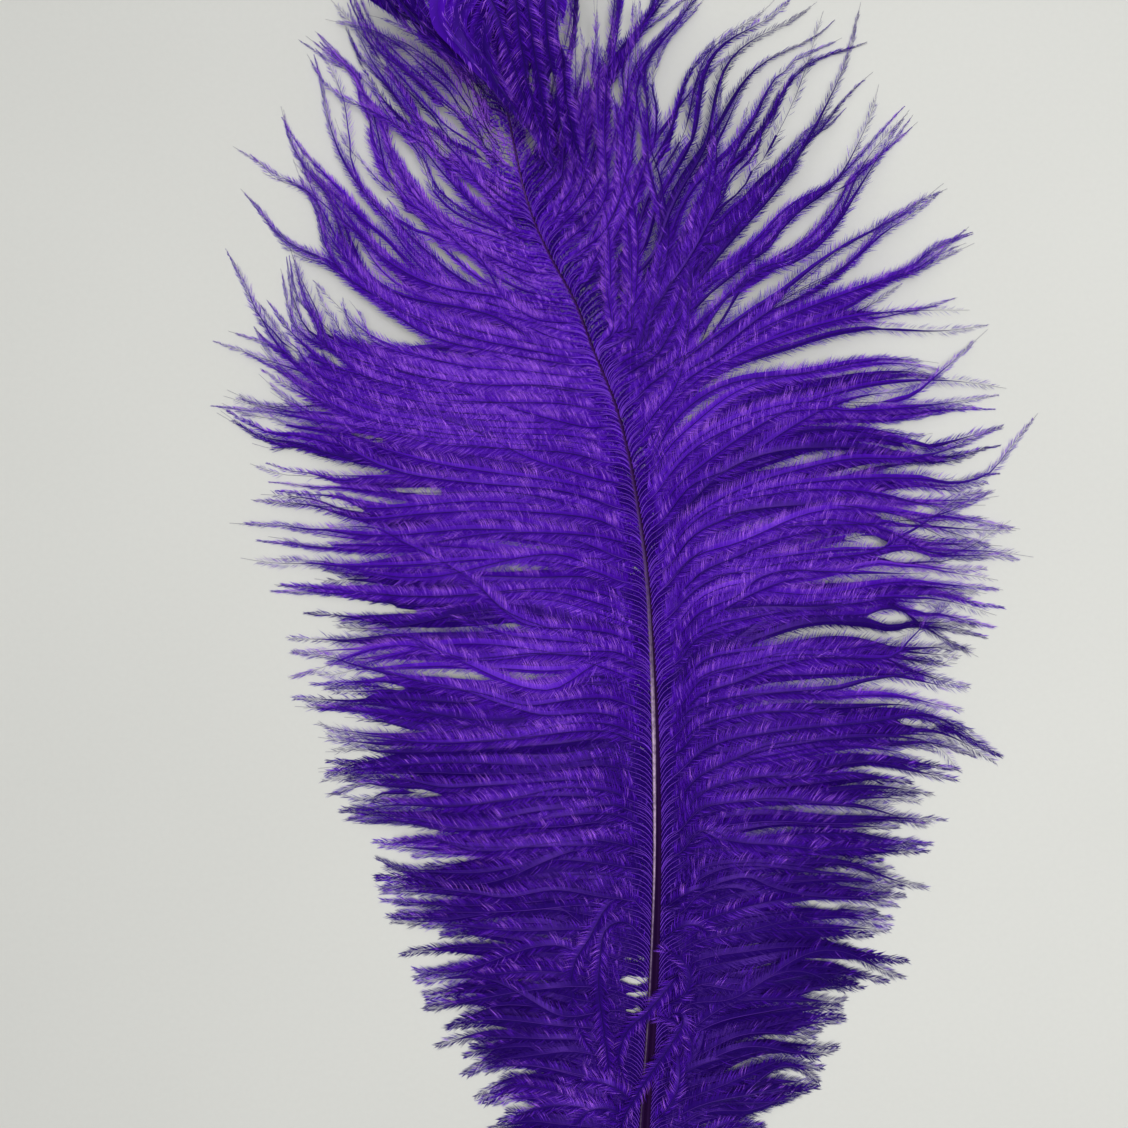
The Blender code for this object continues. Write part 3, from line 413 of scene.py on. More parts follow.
# Places where barbules are sparse and the floor shows between the stems, in the
# photograph's pixels: x, y, radius, and the share of the barbules that is missing.
SPARSE = [
    (506, 160, 14, 0.75), (488, 134, 16, 0.78), (470, 106, 17, 0.75), (480, 88, 11, 0.75),
    (448, 150, 14, 0.5), (500, 192, 12, 0.5), (455, 120, 12, 0.55), (430, 140, 12, 0.4),
    (531, 142, 7, 0.85), (530, 78, 5, 0.92),
    (552, 82, 5, 0.8), (565, 30, 9, 0.7), (572, 60, 8, 0.6), (590, 80, 6, 0.8), (616, 92, 7, 0.8),
    (590, 15, 9, 0.6), (608, 36, 8, 0.7), (624, 30, 9, 0.7), (414, 22, 8, 0.6), (412, 56, 8, 0.6),
    (650, 160, 9, 0.5), (680, 128, 8, 0.6), (738, 181, 9, 0.6), (786, 250, 14, 0.5), (715, 296, 11, 0.5),
    (883, 318, 13, 0.4), (870, 544, 18, 0.35), (912, 520, 16, 0.35), (915, 556, 16, 0.35),
    (235, 455, 14, 0.4), (300, 470, 16, 0.4), (330, 510, 16, 0.4),
]

# Painted shade: pockets between barbs where the barbules are drawn darker, in the photograph's pixels: x, y,
# radius, and how dark.
SHADE_POCKETS = [
    (734, 1050, 14, 0.3), (695, 1062, 16, 0.3), (755, 936, 18, 0.26), (872, 824, 18, 0.24),
    (836, 992, 22, 0.22), (700, 1000, 12, 0.2), (660, 860, 14, 0.16), (720, 880, 20, 0.14),
    (800, 880, 20, 0.14), (565, 911, 20, 0.28), (535, 914, 12, 0.28), (564, 1055, 14, 0.3),
    (592, 990, 12, 0.28), (560, 990, 16, 0.2), (520, 1020, 18, 0.14), (470, 900, 16, 0.12),
    (560, 440, 14, 0.12), (690, 640, 16, 0.14), (700, 470, 18, 0.12), (480, 640, 22, 0.1),
    (498, 110, 12, 0.1), (545, 60, 14, 0.12), (565, 150, 14, 0.12), (330, 345, 26, 0.12),
    (350, 240, 22, 0.12), (400, 250, 20, 0.08), (800, 300, 22, 0.1), (740, 250, 16, 0.1),
    (690, 290, 20, 0.1), (560, 120, 18, 0.08),
]

# Barbs that have come loose near the quill and lie back over the shaft: distance of
# the root along the shaft, the side that it starts on, and points with heights.
STRAY = [
    (88, 1, [(4.8, 90.6, 3.0), (2, 87, 4.4), (-1.6, 82.8, 4.6), (-5.6, 79, 4.2),
             (-7.2, 73.4, 3.2), (-5.8, 68.8, 2.0)]),
    (79, 1, [(4.6, 83, 3.2), (5.8, 81.4, 4.4), (3.2, 76.4, 5.0), (-1.6, 69.4, 4.8),
             (-5.8, 62.4, 3.6), (-8, 57, 1.8)]),
    (101, -1, [(-6, 106.5, 2.6), (-9.6, 104, 3.8), (-13, 98, 4.8), (-16, 93, 5.2),
               (-16.8, 87, 5.0), (-15.5, 80.5, 4.2), (-10.5, 71.5, 2.6)]),
    (96, -1, [(-6, 101, 2.4), (-9.8, 99.5, 3.6), (-11, 93, 4.4), (-11.2, 87, 4.6),
              (-10, 78, 4.2), (-9.2, 70, 3.4), (-9.6, 60, 1.8)]),
]

# Barbs at the very end of the curl, which hang down in a dense brush: as above.
HANGING = [
    (319, -1, [(-34, 290, 42), (-31.5, 283, 41.5), (-29, 275, 38.5), (-26, 266, 33.5), (-22.4, 257, 27)]),
    (320, -1, [(-30, 292, 42.5), (-28, 286, 42.5), (-27, 278, 40), (-25, 268, 35), (-22.5, 259, 30)]),
    (319, 1, [(-26.5, 292, 42.5), (-25.4, 285, 42), (-24.4, 277, 39), (-22.5, 266, 33.5), (-20.5, 257, 28)]),
    (318, 1, [(-22.5, 290, 42), (-21.8, 282, 40.5), (-21, 274, 37), (-19.5, 264, 31), (-17.6, 256, 26)]),
    (326.5, -1, [(-28, 283.5, 37), (-29.5, 277, 35.5), (-28.5, 270, 33), (-25.5, 263, 29), (-21.5, 256, 25)]),
    (327, -1, [(-27.4, 281, 36.5), (-28, 274, 34.5), (-26.6, 267, 31.5), (-23.5, 260, 27.5),
               (-20.2, 253, 23.5)]),
    (328, -1, [(-26.8, 280, 36), (-26.8, 273, 34), (-25.6, 266, 31), (-22.4, 257, 26)]),
    (328.5, 1, [(-26, 280, 36), (-25.6, 273, 33.5), (-24.4, 265, 30), (-21, 256.5, 25.5)]),
    (327, 1, [(-25.4, 281.5, 36.5), (-24.6, 274, 34), (-24.2, 268, 31.5), (-23, 262, 28)]),
    (326, -1, [(-29, 284, 37.5), (-31.5, 278, 36), (-30.5, 271, 33), (-27, 264, 29.5), (-23, 258, 26)]),
    (324, 1, [(-24.6, 284, 37.5), (-22.8, 277, 35), (-23, 270, 32), (-21.6, 263, 28.5)]),
    (322, 1, [(-24, 286, 38), (-20.5, 281, 36), (-18.6, 272, 32), (-17, 262, 27), (-14.8, 254, 22),
              (-13, 249.5, 19)]),
    (320, 1, [(-24, 288, 39), (-20, 284, 37), (-18.2, 274, 33), (-17.4, 264, 27.5), (-15.4, 256, 22.5)]),
    (321, 1, [(-24, 287, 38.5), (-20.2, 282, 36.5), (-18.4, 273, 32.5), (-17.8, 263, 27.5),
              (-16, 255, 22.5), (-14, 251, 20)]),
]

# Places drawn paler or darker: partly uneven dye, partly painted light and shade from how the locks lie. x,
# y, radius, amount.
TONE_AND_SHADE_PATCHES = [
    (10, 60, 34, -0.19), (-25, 70, 30, -0.17), (35, 90, 26, -0.18), (-45, 185, 24, 0.05),
    (-30, 235, 26, 0.13), (35, 160, 26, -0.02), (42, 210, 24, 0.1), (-32, 285, 18, -0.1),
    (60, 120, 18, -0.1), (-62, 205, 14, -0.05), (-65, 194, 9, -0.1), (21, 238, 9, -0.13),
    (3, 236, 9, -0.13), (41, 224, 9, -0.08), (-20, 160, 12, 0.04), (25, 130, 14, -0.02),
    (-56, 222, 9, -0.07), (60, 187, 8, -0.08), (-30, 126, 10, -0.04), (8, 250, 14, -0.08),
    (42, 100, 12, -0.1), (-12, 248, 12, 0.06),
]

# The painted highlight on the shaft's ridge: share of the shaft's length, then how strong it is, and how far
# from the left edge it reaches, as a share of the width.
RIDGE_HIGHLIGHT = [
    (0.15, 0.3), (0.27, 0.5), (0.34, 0.9), (0.42, 0.95), (0.45, 0.65), (0.47, 0.3), (0.52, 0.12),
    (0.6, 0.0),
]
RIDGE_EDGE = [(0.2, 0.22), (0.3, 0.28), (0.37, 0.42), (0.42, 0.55), (0.5, 0.62), (0.7, 0.6)]

# ---- how the shaft is made ----------------------------------------------------
SHAFT_SIDES = 20        # faces round it
SHAFT_CUTS = 200        # rings between its ends
LINE_POINTS = 240       # points of the line that bends it
GROOVE_STARTS = (28, 42)    # mm from the cut end over which the groove gets its depth
GROOVE_ENDS = (232, 262)    # and over which it loses it
CREASE = 50             # degrees between faces that a soft shade still joins

# ---- how a barb is made, mm --------------------------------------------------
GUIDE_SHARES = np.linspace(0.0, 1.0, 41)
SHEET_SHARES = (0.0, 0.25, 0.5, 0.75)   # lines that map the sheet between two locks
NEAR_STATIONS = np.array([0.0, 0.7, 1.5, 2.5, 3.7, 5.2, 7.0])
FAR_STATIONS = 27       # stations from there to the tip
ARC_LENGTH = 5.5        # a barb leaves the shaft nearly along it and turns out over this
ARC_START = 14.0        # degrees between the shaft and a barb at its root
ROOT_OUT = (0.85, 0.5)  # where a barb starts on the shaft, low and high up, in half widths
ROOT_UP = (0.4, 0.85)
ROOT_MOVES = (120, 165)     # mm from the cut end over which that changes
WHOLE = 0.25            # share of the barbs that reach the rim
WILD = 0.12             # share of the barbs that stray across their neighbours
STOPPED = 0.75          # share of the barbs that end before a gap in their way
WIDE_GAP = 0.75         # half width of the gaps that end a barb
LEAST_POINTS = 12       # points that such a barb keeps
GAP_CLEARED = 0.95      # share of a gap's width that stays clear of barbules
GAP_REACH = 4.0         # a barb passing a gap closer than this may reach into it
LOWEST_STEM = 0.25      # least heights above the floor
LOWEST_LOOSE = 0.3
LOWEST_BARBULE = 0.05
LOWEST_WEB = 0.04
BARE_TIP = 9.0          # most that a thin bare tip reaches beyond the barbules
STRAND_GAP = 0.8        # distance between the barbs of a strand where it starts

# ---- how barbules lie -----------------------------------------------------------
TUFT = 0.36             # barbules cling together in tufts about this wide
TURN_PLACES = [0, 0.5, 0.85, 1]     # shares of the barb's length for the next four rows
TURNS = np.array([70, 58, 30, 16])  # degrees between a barbule and its barb
OPEN_TURNS = np.array([0, 4, 18, 14])       # what is added where they spread
ROPE_TURNS = np.array([62, 24, 16, 12])     # the same angles where they wrap the barb
BACK_SHARES = np.array([0.72, 0.78, 0.9, 1.0])  # how much of them the quill's side has
BEND_PLACE = 0.42       # share of its length at which a barbule bends

# The barb's texture map, barb_uv: U runs along the barb. V is a stem's painted highlight up to 0.25,
# and above that the tone of a barbule, from dark to pale: its dye, with painted shade and glints.
TONES = (0.27, 0.99)
BARBULE_TONE = 0.52
# The web's tone is lower than the barbules': painted shade between the hairs.
WEB_SHADE_TONE = 0.37
STEM_SLOT, DOWN_SLOT = 0, 1     # places of the two materials on a piece

# ---- patterns, to the metre -------------------------------------------------------
# 0.7 mm each, coarser than real scuffs, so that they show
HIGHLIGHT_SPECKS = 1400.0    # 0.7 mm each: specks that break up the painted highlight on the shaft's ridge
CARD_GRAIN = 900.0      # 1.1 mm each, coarser than paper fibre, so that it shows
CARD_CLOUDS = 9.0       # 110 mm each
CARD_PAINTED_LIGHT = (0.83, 1.13)      # painted light: tone of its left and right, as shares of its colour

# ---- stage, m -----------------------------------------------------------------
FLOOR_SIZE = 4.0
# Name, place, size, and power as a share of the key lamp's. The key lamp shines nearly
# the way the camera looks, so that the floor seen between the barbs is lit.
LAMPS = [("key_lamp", (0.03, 0.0, 0.8), 0.3, 1.0), ("fill_lamp", (-0.38, 0.5, 1.0), 1.2, 0.75)]
SKY = "#F1F3F6"
SKY_STRENGTH = 0.28
LENS, SENSOR = 50, 36   # mm, which give the photograph's frame from the eye's height


def linear(colour):
    """An sRGB hex colour as linear red, green, blue and alpha."""
    parts = [int(colour[k:k + 2], 16) / 255 for k in (1, 3, 5)]
    return (*[p / 12.92 if p <= 0.04045 else ((p + 0.055) / 1.055) ** 2.4 for p in parts], 1.0)


def drawn_in(point):
    """Moves a raised point in toward the eye's foot, from where it is seen."""
    x, y, z = point
    near = (EYE_HEIGHT - z) / EYE_HEIGHT
    return np.array([EYE[0] + (x - EYE[0]) * near, EYE[1] + (y - EYE[1]) * near, z])


def seen(points):
    """Where points appear in the plane of the table."""
    near = (EYE_HEIGHT - points[..., 2:]) / EYE_HEIGHT
    return np.array(EYE) + (points[..., :2] - np.array(EYE)) / near


def spot(x, y):
    """The table point that a pixel of the photograph shows."""
    return np.array([PHOTO_CORNER[0] + x * PIXEL, PHOTO_CORNER[1] - y * PIXEL])


def smooth_line(points, step):
    """A smooth line through the points, sampled about every `step` mm."""
    pts = [np.asarray(p, float) for p in points]
    pts = [2 * pts[0] - pts[1]] + pts + [2 * pts[-1] - pts[-2]]
    out = []
    for a, b, c, d in zip(pts, pts[1:], pts[2:], pts[3:]):
        before, here, after = [np.linalg.norm(q - p) ** 0.5 for p, q in ((a, b), (b, c), (c, d))]
        leave = ((b - a) / before - (c - a) / (before + here) + (c - b) / here) * here
        reach = ((c - b) / here - (d - b) / (here + after) + (d - c) / after) * here
        count = max(2, int(np.linalg.norm(c - b) / step))
        for t in np.arange(count) / count:
            out.append(
                (2 * t**3 - 3 * t**2 + 1) * b
                + (t**3 - 2 * t**2 + t) * leave
                + (3 * t**2 - 2 * t**3) * c
                + (t**3 - t**2) * reach
            )
    out.append(pts[-2])
    return np.array(out)


def lengths(line):
    """Distance along the line at each of its points."""
    return np.concatenate([[0.0], np.cumsum(np.linalg.norm(np.diff(line, axis=0), axis=1))])


def along(line, wanted, dist):
    """The points of a line, or the vectors on it, at the wanted distances."""
    return np.stack([np.interp(wanted, dist, line[:, k]) for k in range(3)], 1)


def unit(vectors):
    """The vectors, each made one long."""
    return vectors / (np.linalg.norm(vectors, axis=-1, keepdims=True) + 1e-9)


def smooth(value, start, end):
    """0 before start, 1 after end, smooth between."""
    t = np.clip((value - start) / (end - start), 0.0, 1.0)
    return t * t * (3 - 2 * t)


class Gap:
    """A lens-shaped opening between strands, as seen from above."""

    def __init__(self, x1, y1, x2, y2, half, clean=False):
        ends = spot(x1, y1), spot(x2, y2)
        self.middle = (ends[0] + ends[1]) / 2
        self.size = np.linalg.norm(ends[1] - ends[0]) / 2
        self.way = (ends[1] - ends[0]) / self.size / 2
        self.across = np.array([-self.way[1], self.way[0]])
        self.width = half * PIXEL
        self.clean = clean

    def place(self, places):
        """How far along the gap places are, how far across it, and its half width there."""
        off = places - self.middle
        u = off @ self.way / self.size
        return u, off @ self.across, self.width * np.clip(1 - u * u, 0, 1)

    def side_of(self, places):
        """The side that a line passes on: 1 or -1, or 0 if it crosses or stays clear."""
        u, v, _ = self.place(places)
        v = v[np.abs(u) < 1]
        if len(v) == 0 or np.abs(v).min() > 3 * self.width:
            return 0
        if v.min() < -0.7 * self.width and v.max() > 0.7 * self.width:
            return 0
        return 1 if v.mean() > 0 else -1

    def push(self, places, side):
        """How far the stems beside the gap move out of it."""
        _, v, w = self.place(places)
        near = v * side / (w + 0.05)
        aside = 0.8 * w / (1 + np.maximum(near, 0) ** 2) * smooth(near, -2.5, -1.0)
        return self.across * side * aside[:, None]

    def covers(self, places, share=GAP_CLEARED):
        """Which places are inside that share of the gap's width. A clean gap ignores it."""
        _, v, w = self.place(places)
        return np.abs(v) < (GAP_CLEARED if self.clean else share) * w


ALL_GAPS = [Gap(*row) for row in GAPS]


def gaps_near(points):
    """The gaps that a barb or its barbules may reach into."""
    places = seen(points)
    far = [np.hypot(*(places - gap.middle).T).min() - gap.size for gap in ALL_GAPS]
    return [gap for gap, off in zip(ALL_GAPS, far) if off < GAP_REACH]


def parted(points, gaps):
    """The line of a barb, moved aside where it runs beside a gap."""
    points = points.copy()
    for gap in gaps:
        side = gap.side_of(seen(points))
        if side:
            near = (EYE_HEIGHT - points[:, 2:]) / EYE_HEIGHT
            points[:, :2] += gap.push(seen(points), side) * near
    return points


def table_share(table, places):
    """How far places on the table lie in the round patches of SPARSE or SHADE_POCKETS."""
    share = np.zeros(len(places))
    for x, y, size, most in table:
        far = np.sum((places - spot(x, y)) ** 2, axis=1) / (2 * (size * PIXEL) ** 2)
        share = np.maximum(share, most * np.exp(-far))
    return share


def free_share(starts, ends, gaps, ragged=GAP_CLEARED):
    """The share of each line from its start that stays out of the gaps.

    Ragged is the share of a gap's width that a line keeps out of. Where it differs from
    line to line, the gap gets a ragged rim.
    """
    share = np.ones(len(starts))
    for k in (1.0, 0.85, 0.7, 0.55, 0.4, 0.25, 0.1, 0.0):
        places = seen(starts + (ends - starts) * k)
        for gap in gaps:
            share[gap.covers(places, ragged)] = k - 0.1
    return np.maximum(share, 0)


class Shaft:
    """The shaft's centre line, with a frame that turns as little as it can."""

    def __init__(self):
        self.line = smooth_line([drawn_in(p) for p in SHAFT], 0.5)
        self.dist = lengths(self.line)
        self.length = self.dist[-1]
        self.tangent = unit(np.gradient(self.line, axis=0))
        self.side = np.zeros_like(self.tangent)
        side = np.array([1.0, 0.0, 0.0])
        for i, tangent in enumerate(self.tangent):
            side = unit(side - tangent * (side @ tangent))
            self.side[i] = side
        self.up = np.cross(self.side, self.tangent)

    def at(self, s):
        """Point, tangent, side and up at distance s from the cut end."""
        point = along(self.line, [s], self.dist)[0]
        axes = [unit(along(f, [s], self.dist)[0]) for f in (self.tangent, self.side, self.up)]
        return point, *axes

    def half(self, s):
        """Half width at distance s."""
        return float(np.interp(s, *zip(*SHAFT_HALF)))

    def edge(self, s, sign, share=1.0, rise=0.0):
        """The shaft's side at distance s, or a point that share of the way out and up."""
        point, _, side, up = self.at(s)
        return point + (side * sign * share + up * rise) * self.half(s)

    def socket(self, s, sign):
        """Where the barb at distance s leaves the shaft."""
        high = smooth(s, *ROOT_MOVES)
        out, up = [low + (far - low) * high for low, far in (ROOT_OUT, ROOT_UP)]
        return self.edge(s, sign, out, up)


class Vane:
    """The middle lines of one vane's locks, and any line between two of them."""

    def __init__(self, shaft, locks, sign):
        self.sign = sign
        self.shaft = shaft
        self.roots = np.array([min(lock[0], shaft.length - LAST_ROOT) for lock in locks])
        lines = []
        for root, lock in zip(self.roots, locks):
            line = self.lock_line(root, lock[1:])
            dist = lengths(line)
            lines.append(along(line, GUIDE_SHARES * dist[-1], dist))
        self.lines = np.array(lines)
        self.lengths = np.array([lengths(line)[-1] for line in lines])
        last = len(lines) - 1
        ups = np.zeros_like(self.lines)
        for i in range(last + 1):
            across = self.lines[min(i + 1, last)] - self.lines[max(i - 1, 0)]
            ups[i] = np.cross(np.gradient(self.lines[i], axis=0), across) * sign
        ups[:, 0] = [shaft.at(s)[3] for s in self.roots]
        self.ups = unit(ups)
        self.map_sheet()

    def lock_line(self, root_s, points):
        """The middle line of one lock, from its root on the shaft to its tip."""
        _, tangent, side, _ = self.shaft.at(root_s)
        root = self.shaft.edge(root_s, self.sign)
        turn = math.radians(START_ANGLE)
        out = side * self.sign * math.sin(turn) + tangent * math.cos(turn)
        flat = [root[:2]] + [np.array(p[:2], float) for p in points]
        run = np.cumsum([np.linalg.norm(b - a) for a, b in zip(flat, flat[1:])])
        line = [root, root + out * START_LEN]
        for p, far in zip(points, run / run[-1]):
            arch = VANE_HUMP * run[-1] * math.sin(math.pi * far)
            height = p[2] if len(p) == 3 else root[2] * (1 - far) + arch
            line.append(drawn_in((p[0], p[1], height)))
        return smooth_line(line, 0.7)

    def between(self, i, w, t):
        """Points and ups at shares t of the line that lies w of the way from lock i to the next."""
        out = []
        for field in (self.lines, self.ups):
            low = along(field[i], t, GUIDE_SHARES)
            high = along(field[i + 1], t, GUIDE_SHARES)
            out.append(low * (1 - w)[:, None] + high * w[:, None])
        return out[0], unit(out[1])

    def map_sheet(self):
        """Notes where the sheet between the locks appears, for finding a place on it."""
        rows = []
        for i in range(len(self.roots) - 1):
            for w in SHEET_SHARES:
                points, ups = self.between(i, np.full(len(GUIDE_SHARES), w), GUIDE_SHARES)
                for k, t in enumerate(GUIDE_SHARES):
                    rows.append((i, w, t, *seen(points[k]), points[k][2], *ups[k]))
        self.map = np.array(rows)

    def find(self, x, y, near=None):
        """Lock, share to the next, share out, height and up at the place seen at x, y.

        With near, only locks close to that one count.
        """
        rows = self.map
        if near is not None:
            rows = rows[np.abs(rows[:, 0] - near) < 4]
        far = np.hypot(rows[:, 3] - x, rows[:, 4] - y)
        best = rows[np.argmin(far)]
        return int(best[0]), best[1], best[2], best[5], best[6:9]


class Barb:
    """One barb: its line, its own up direction, and how it is dressed."""

    def __init__(self, points, ups, sign, onward, tone=0.0, under=0.0, grey=0.0, openness=0.5,
                 full=1.0, web=1.0, comb=1.0, rope=0.0, near_root=True, painted_glint=1.0, slim=0.0):
        self.gaps = gaps_near(points)
        self.points = points = parted(points, self.gaps)
        self.dist = lengths(points)
        self.length = self.dist[-1]
        self.tangents = unit(np.gradient(points, axis=0))
        ups = ups - self.tangents * np.sum(ups * self.tangents, axis=1)[:, None]
        self.ups = unit(ups)
        # Across the barb, toward the shaft's tip.
        self.across = np.cross(self.tangents, self.ups) * -sign
        self.onward = onward        # the way the shaft goes at the barb's root
        self.tone = tone            # how much paler or darker it is drawn: its dye, with painted shade
        self.under = under          # 1 for a barb that lies beneath the others
        self.grey = grey            # how grey and bare its tip is
        self.openness = openness    # how far its barbules spread toward its tip
        self.full = full            # length of its barbules, as a share
        self.web = web              # how far its barbules cling together
        self.comb = comb            # how far they lie the shaft's way
        self.rope = rope            # how far they wrap the barb into a smooth rope
        self.near_root = near_root  # whether its barbules start at the shaft
        self.painted_glint = painted_glint          # how many of its barbules get painted glints, and how strong its stem's painted highlight is
        self.slim = slim            # how far it narrows to a point at its tip
        self.thread = comb * BARE_TIP * max(0.0, grey - 0.35)   # length of its bare tip


def stations(length):
    """Distances at which a barb of that length has its points."""
    near = NEAR_STATIONS * min(1.0, length / 25)
    return np.concatenate([near, np.linspace(near[-1], length, FAR_STATIONS + 1)[1:]])


def root_arc(shaft, s, sign, points, dist, size):
    """Joins the start of a barb to the shaft: almost along it, then turning out."""
    _, tangent, side, _ = shaft.at(s)
    start = shaft.socket(s, sign)
    ahead = along(points, [size * 1.6], dist)[0] - start
    aim = math.degrees(math.atan2(ahead @ side * sign, ahead @ tangent))
    fine = np.linspace(0.0, max(dist[-1], size), 60)
    low, high = np.radians([ARC_START, float(np.clip(aim * 1.12, 30, 92))])
    turn = low + (high - low) * smooth(fine, -0.2 * size, size)
    step = np.gradient(fine)
    out = np.cumsum(np.sin(turn) * step)
    on = np.cumsum(np.cos(turn) * step)
    out = np.interp(dist, fine, out - out[0])
    on = np.interp(dist, fine, on - on[0])
    arc = start + side * sign * out[:, None] + tangent * on[:, None]
    hold = 1 - smooth(dist, size * 0.45, size * 1.6)
    return points + (arc - points) * hold[:, None]


def first_crossing(points):
    """How many of a barb's points come before the first gap that it would cross."""
    places = seen(points)
    stop = len(points)
    for gap in [gap for gap in gaps_near(points) if gap.width > WIDE_GAP]:
        inside = gap.covers(places)
        inside[:LEAST_POINTS] = False
        if inside.any() and gap.side_of(places) == 0:
            stop = min(stop, max(LEAST_POINTS, int(np.argmax(inside)) - 1))
    return stop


def lock_moods(vane, rng):
    """What each lock does of its own: swing, phase, height and tone."""
    count = len(vane.roots)
    return np.stack([
        rng.normal(0, 0.9, count), rng.uniform(0, 2 * math.pi, count),
        rng.uniform(-0.6, 0.9, count), rng.normal(0, 0.08, count),
    ], 1)


def patch_tone_and_shade(x, y):
    """How much paler or darker the barbules are drawn at a place: uneven dye, with painted light and shade.
    """
    tone = 0.0
    for px, py, size, amount in TONE_AND_SHADE_PATCHES:
        tone += amount * math.exp(-((x - px) ** 2 + (y - py) ** 2) / (2 * size**2))
    return tone


def vane_barbs(vane, settings, rng):
    """All the barbs of one vane, in order from the quill."""
    shaft, sign = vane.shaft, vane.sign
    moods = lock_moods(vane, rng)
    # Slow waves that neighbours share: length along the shaft, length along a barb, phase.
    drifts = rng.uniform((8, 28, 0), (24, 75, 2 * math.pi), (5, 3))
    barbs = []
    root = FIRST_ROOT
    while root < shaft.length - LAST_ROOT:
        i = int(np.clip(np.searchsorted(vane.roots, root, side="right") - 1, 0, len(vane.roots) - 2))
        share = float(np.clip((root - vane.roots[i]) / (vane.roots[i + 1] - vane.roots[i]), 0, 1))
        length = vane.lengths[i] * (1 - share) + vane.lengths[i + 1] * share
        upper = float(smooth(root, *GATHERED))
        comb = float(smooth(root, *COMBED))
        curl = float(smooth(root, *CURLED))
        shortest = 0.88 - 0.12 * upper - 0.1 * (1 - comb)
        reach = 1.0 if rng.random() < WHOLE else rng.uniform(shortest, 1.0)
        wild = rng.random() < WILD * (1 - curl)
        dist = stations(length * reach)
        t = dist / length
        # Between two locks, the barb is drawn to the nearer one toward its tip.
        home = round(share) + (share - round(share)) * rng.uniform(0.0, 0.3) + rng.normal(0, 0.06)
        pull = smooth(t, 0.62 - 0.42 * upper, 1.0 - 0.25 * upper)
        gather = max(0.12 + 0.88 * upper, 0.6 * (1 - smooth(root, *SHAGGY_END)))
        pull = pull * (0.4 if wild else rng.uniform(0.75, 1.0)) * gather
        w = share + (home - share) * pull
        points, ups = vane.between(i, w, t)
        tangents = unit(np.gradient(points, axis=0))
        across = np.cross(tangents, ups) * -sign
        # It swings sideways with its lock, with its neighbours and by itself.
        body = smooth(dist, 4, 22)
        swing, phase, rise, mood = moods[i] * (1 - round(share)) + moods[i + 1] * round(share)
        sideways = swing * (0.3 + 0.7 * upper) * (np.sin(5.5 * t + phase) - math.sin(phase))
        for across_size, along_size, phase in drifts:
            turn = root * 2 * math.pi / across_size + phase
            wave = np.sin(turn + dist * 2 * math.pi / along_size) - math.sin(turn)
            sideways = sideways + wave * (0.2 + 0.36 * upper)
        swing = rng.normal(0, 2.4 if wild else 0.6 + 0.4 * upper)
        phase = rng.uniform(0, 2 * math.pi)
        waves = rng.uniform(4.5, 9.5)
        sideways = sideways + swing * (np.sin(waves * t + phase) - math.sin(phase))
        sideways = body * (sideways + rng.normal(0, 2.4 if wild else 0.6) * t) * (1 - 0.6 * curl)
        # It lies above or below its neighbours, and its outer half sinks to the floor.
        layer = rng.uniform(-1.0, 1.0) + (1.2 if wild else 0.0)
        arch = np.sin(math.pi * np.clip(t, 0, 1)) ** 0.5
        height = body * (layer * (1.5 - 0.5 * comb) + rise * pull) * arch
        points = points + across * sideways[:, None] + ups * height[:, None]
        points = root_arc(shaft, root, sign, points, dist, ARC_LENGTH * (1 - 0.35 * upper))
        points[:, 2] *= 1 - 0.4 * smooth(t, 0.4, 0.85) * (1 - smooth(root, *RISEN))
        points[:, 2] = np.maximum(points[:, 2], LOWEST_STEM)
        tilt = math.radians(rng.normal(0, 14)) * body
        ups = ups * np.cos(tilt)[:, None] + across * np.sin(tilt)[:, None]
        if rng.random() < STOPPED:
            stop = first_crossing(points)
            points, ups = points[:stop], ups[:stop]
        middle = points[len(points) // 2]
        tone = float(rng.normal(0.0, 0.1)) + mood + patch_tone_and_shade(middle[0], middle[1])
        under = float(np.interp(layer, [-0.7, 0.1], [1.0, 0.0]))
        thin = smooth(root, *THINNED) * (1 - curl)
        rope = 0.75 * smooth(root, *ROPED) if rng.random() < 0.4 + 0.6 * curl else 0.0
        # A barb that lies beneath the others is drawn darker: painted shade.
        barbs.append(Barb(
            points, ups, sign, shaft.at(root)[1], tone - (0.26 - 0.18 * comb) * under, under=under,
            grey=rng.uniform(0, 1), openness=float(rng.random() ** 2) * (0.3 + 0.7 * comb),
            full=1 - 0.12 * thin, web=1 - 0.45 * thin, comb=comb, rope=rope,
            painted_glint=1 - 0.8 * curl, slim=float(smooth(root, *POINTED)),
        ))
        root += settings.pitch / MM * rng.uniform(0.85, 1.15) * (0.8 + 0.2 * smooth(root, *PITCH_EVEN))
    return barbs


def strand_lines(table, rng):
    """The lines of the barbs that cling together in each strand."""
    lines = []
    for count, *places in table:
        line = smooth_line([spot(*place) for place in places], 1.0)
        f = lengths(line) / lengths(line)[-1]
        way = unit(np.gradient(line, axis=0))
        across = np.stack([-way[:, 1], way[:, 0]], 1)
        for k in range(count):
            off = (k - (count - 1) / 2) * STRAND_GAP + rng.normal(0, 0.25)
            wave = rng.normal(0, 0.4) * np.sin(f * rng.uniform(3, 7) + rng.uniform(0, 6))
            beside = line + across * (off * (1 - 0.6 * f) + wave)[:, None]
            reach = 1.0 if k == 0 else rng.uniform(0.75, 0.98)
            lines.append(list(beside[f <= reach][::4]))
    return lines


